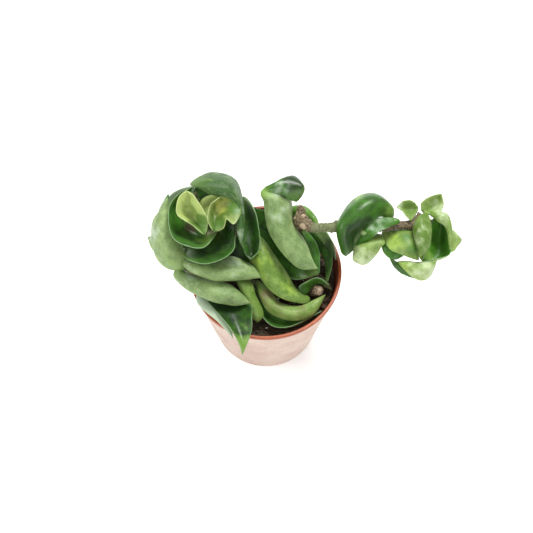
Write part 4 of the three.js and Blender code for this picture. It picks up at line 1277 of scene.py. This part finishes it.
def mouth_radius(height):
    """The radius of the pot's inside at a height."""
    share = (height - FLOOR_THICKNESS) / (POT_HEIGHT - FLOOR_THICKNESS)
    return mix(BASE_RADIUS, wall_top, share) - WALL


def soil_height(x, y):
    """The height of the mix at a place, with clods and crumbs that fade out at the wall."""
    fade = clamp((mouth_radius(SOIL_TOP) - math.hypot(x, y)) / LEVEL_AT_WALL)
    clods = noise.noise(Vector((x, y, 0)) / CLOD_SIZE)
    crumbs = noise.noise(Vector((x, y, CRUMB_LAYER)) / CRUMB_SIZE)
    return SOIL_TOP + (CLOD_HEIGHT * clods + CRUMB_HEIGHT * crumbs) * fade


soil_radius = mouth_radius(SOIL_TOP) - SOIL_CLEARANCE
print("soil radius:", round(soil_radius / MM, 1), "mm")

# %% Soil body
SOIL_SEGMENTS = 96
SOIL_RINGS = 34

soil_bottom = FLOOR_THICKNESS + SOIL_CLEARANCE
near_top = SOIL_TOP - MM
# Two steps short of the middle, where the faces would grow too narrow
ring_width = soil_radius / (SOIL_RINGS + 2)

soil_shape = bmesh.new()
bmesh.ops.create_circle(soil_shape, cap_ends=True, segments=SOIL_SEGMENTS, radius=soil_radius)
bmesh.ops.translate(soil_shape, vec=(0, 0, SOIL_TOP), verts=soil_shape.verts)
walls = bmesh.ops.extrude_face_region(soil_shape, geom=soil_shape.faces[:])
sunk = [v for v in walls["geom"] if isinstance(v, bmesh.types.BMVert)]
shrink = (mouth_radius(soil_bottom) - SOIL_CLEARANCE) / soil_radius
bmesh.ops.scale(soil_shape, vec=(shrink, shrink, 1), verts=sunk)
bmesh.ops.translate(soil_shape, vec=(0, 0, soil_bottom - SOIL_TOP), verts=sunk)
for _ in range(SOIL_RINGS):
    lid = next(
        face for face in soil_shape.faces
        if len(face.verts) == SOIL_SEGMENTS and face.calc_center_median().z > near_top
    )
    bmesh.ops.inset_region(soil_shape, faces=[lid], thickness=ring_width)
for vert in soil_shape.verts:
    if vert.co.z > near_top:
        vert.co.z = soil_height(vert.co.x, vert.co.y)
bmesh.ops.triangulate(soil_shape, faces=[f for f in soil_shape.faces if len(f.verts) > 4])
bmesh.ops.recalc_face_normals(soil_shape, faces=soil_shape.faces)
soil = keep_piece("soil_body", soil_shape, PEAT, ["soil"])
print("soil faces:", len(soil.data.polygons))

# %% [markdown]
# ## Loose bits on the soil
# A handful of bark chips, many crumbs and some perlite lie half sunk in the mix. Each kind is
# one piece made of many small lumps: an icosphere of a few faces, stretched, turned and dented.

# %% Loose bits
BITS_REACH = 0.97
STEEPEST_TILT = 0.5
FLATTEST, FULLEST = 0.45, 0.9
DENTING = 0.22


def scatter(name, finish, count, sizes, stretch, lift, subdivisions):
    """Lays many small lumps on the soil by a seeded draw, each lifted by a share of its radius."""
    shape = bmesh.new()
    for _ in range(count):
        angle = RNG.uniform(0, 2 * math.pi)
        reach = soil_radius * BITS_REACH * math.sqrt(RNG.random())
        x, y = reach * math.cos(angle), reach * math.sin(angle)
        radius = RNG.uniform(*sizes) / 2 * MM
        turn = Matrix.Rotation(RNG.uniform(0, math.pi), 4, "Z")
        turn = turn @ Matrix.Rotation(RNG.uniform(-STEEPEST_TILT, STEEPEST_TILT), 4, "X")
        flatten = Matrix.Diagonal((RNG.uniform(1, stretch), 1, RNG.uniform(FLATTEST, FULLEST), 1))
        place = Matrix.Translation((x, y, soil_height(x, y) + radius * lift))
        lump = bmesh.ops.create_icosphere(shape, subdivisions=subdivisions, radius=radius)["verts"]
        for vert in lump:
            vert.co *= 1 + RNG.uniform(-DENTING, DENTING)
        bmesh.ops.transform(shape, matrix=place @ turn @ flatten, verts=lump)
    piece = keep_piece(name, shape, finish, [])
    print(name, "faces:", len(piece.data.polygons))


scatter("peat_crumbs", PEAT, 900, sizes=(1.0, 2.6), stretch=1.6, lift=0.15, subdivisions=1)
scatter("bark_chips", BARK_CHIP, 130, sizes=(1.8, 4.2), stretch=2.2, lift=0.2, subdivisions=1)
scatter("perlite_grains", PERLITE, 46, sizes=(1.0, 2.4), stretch=1.3, lift=0.35, subdivisions=2)
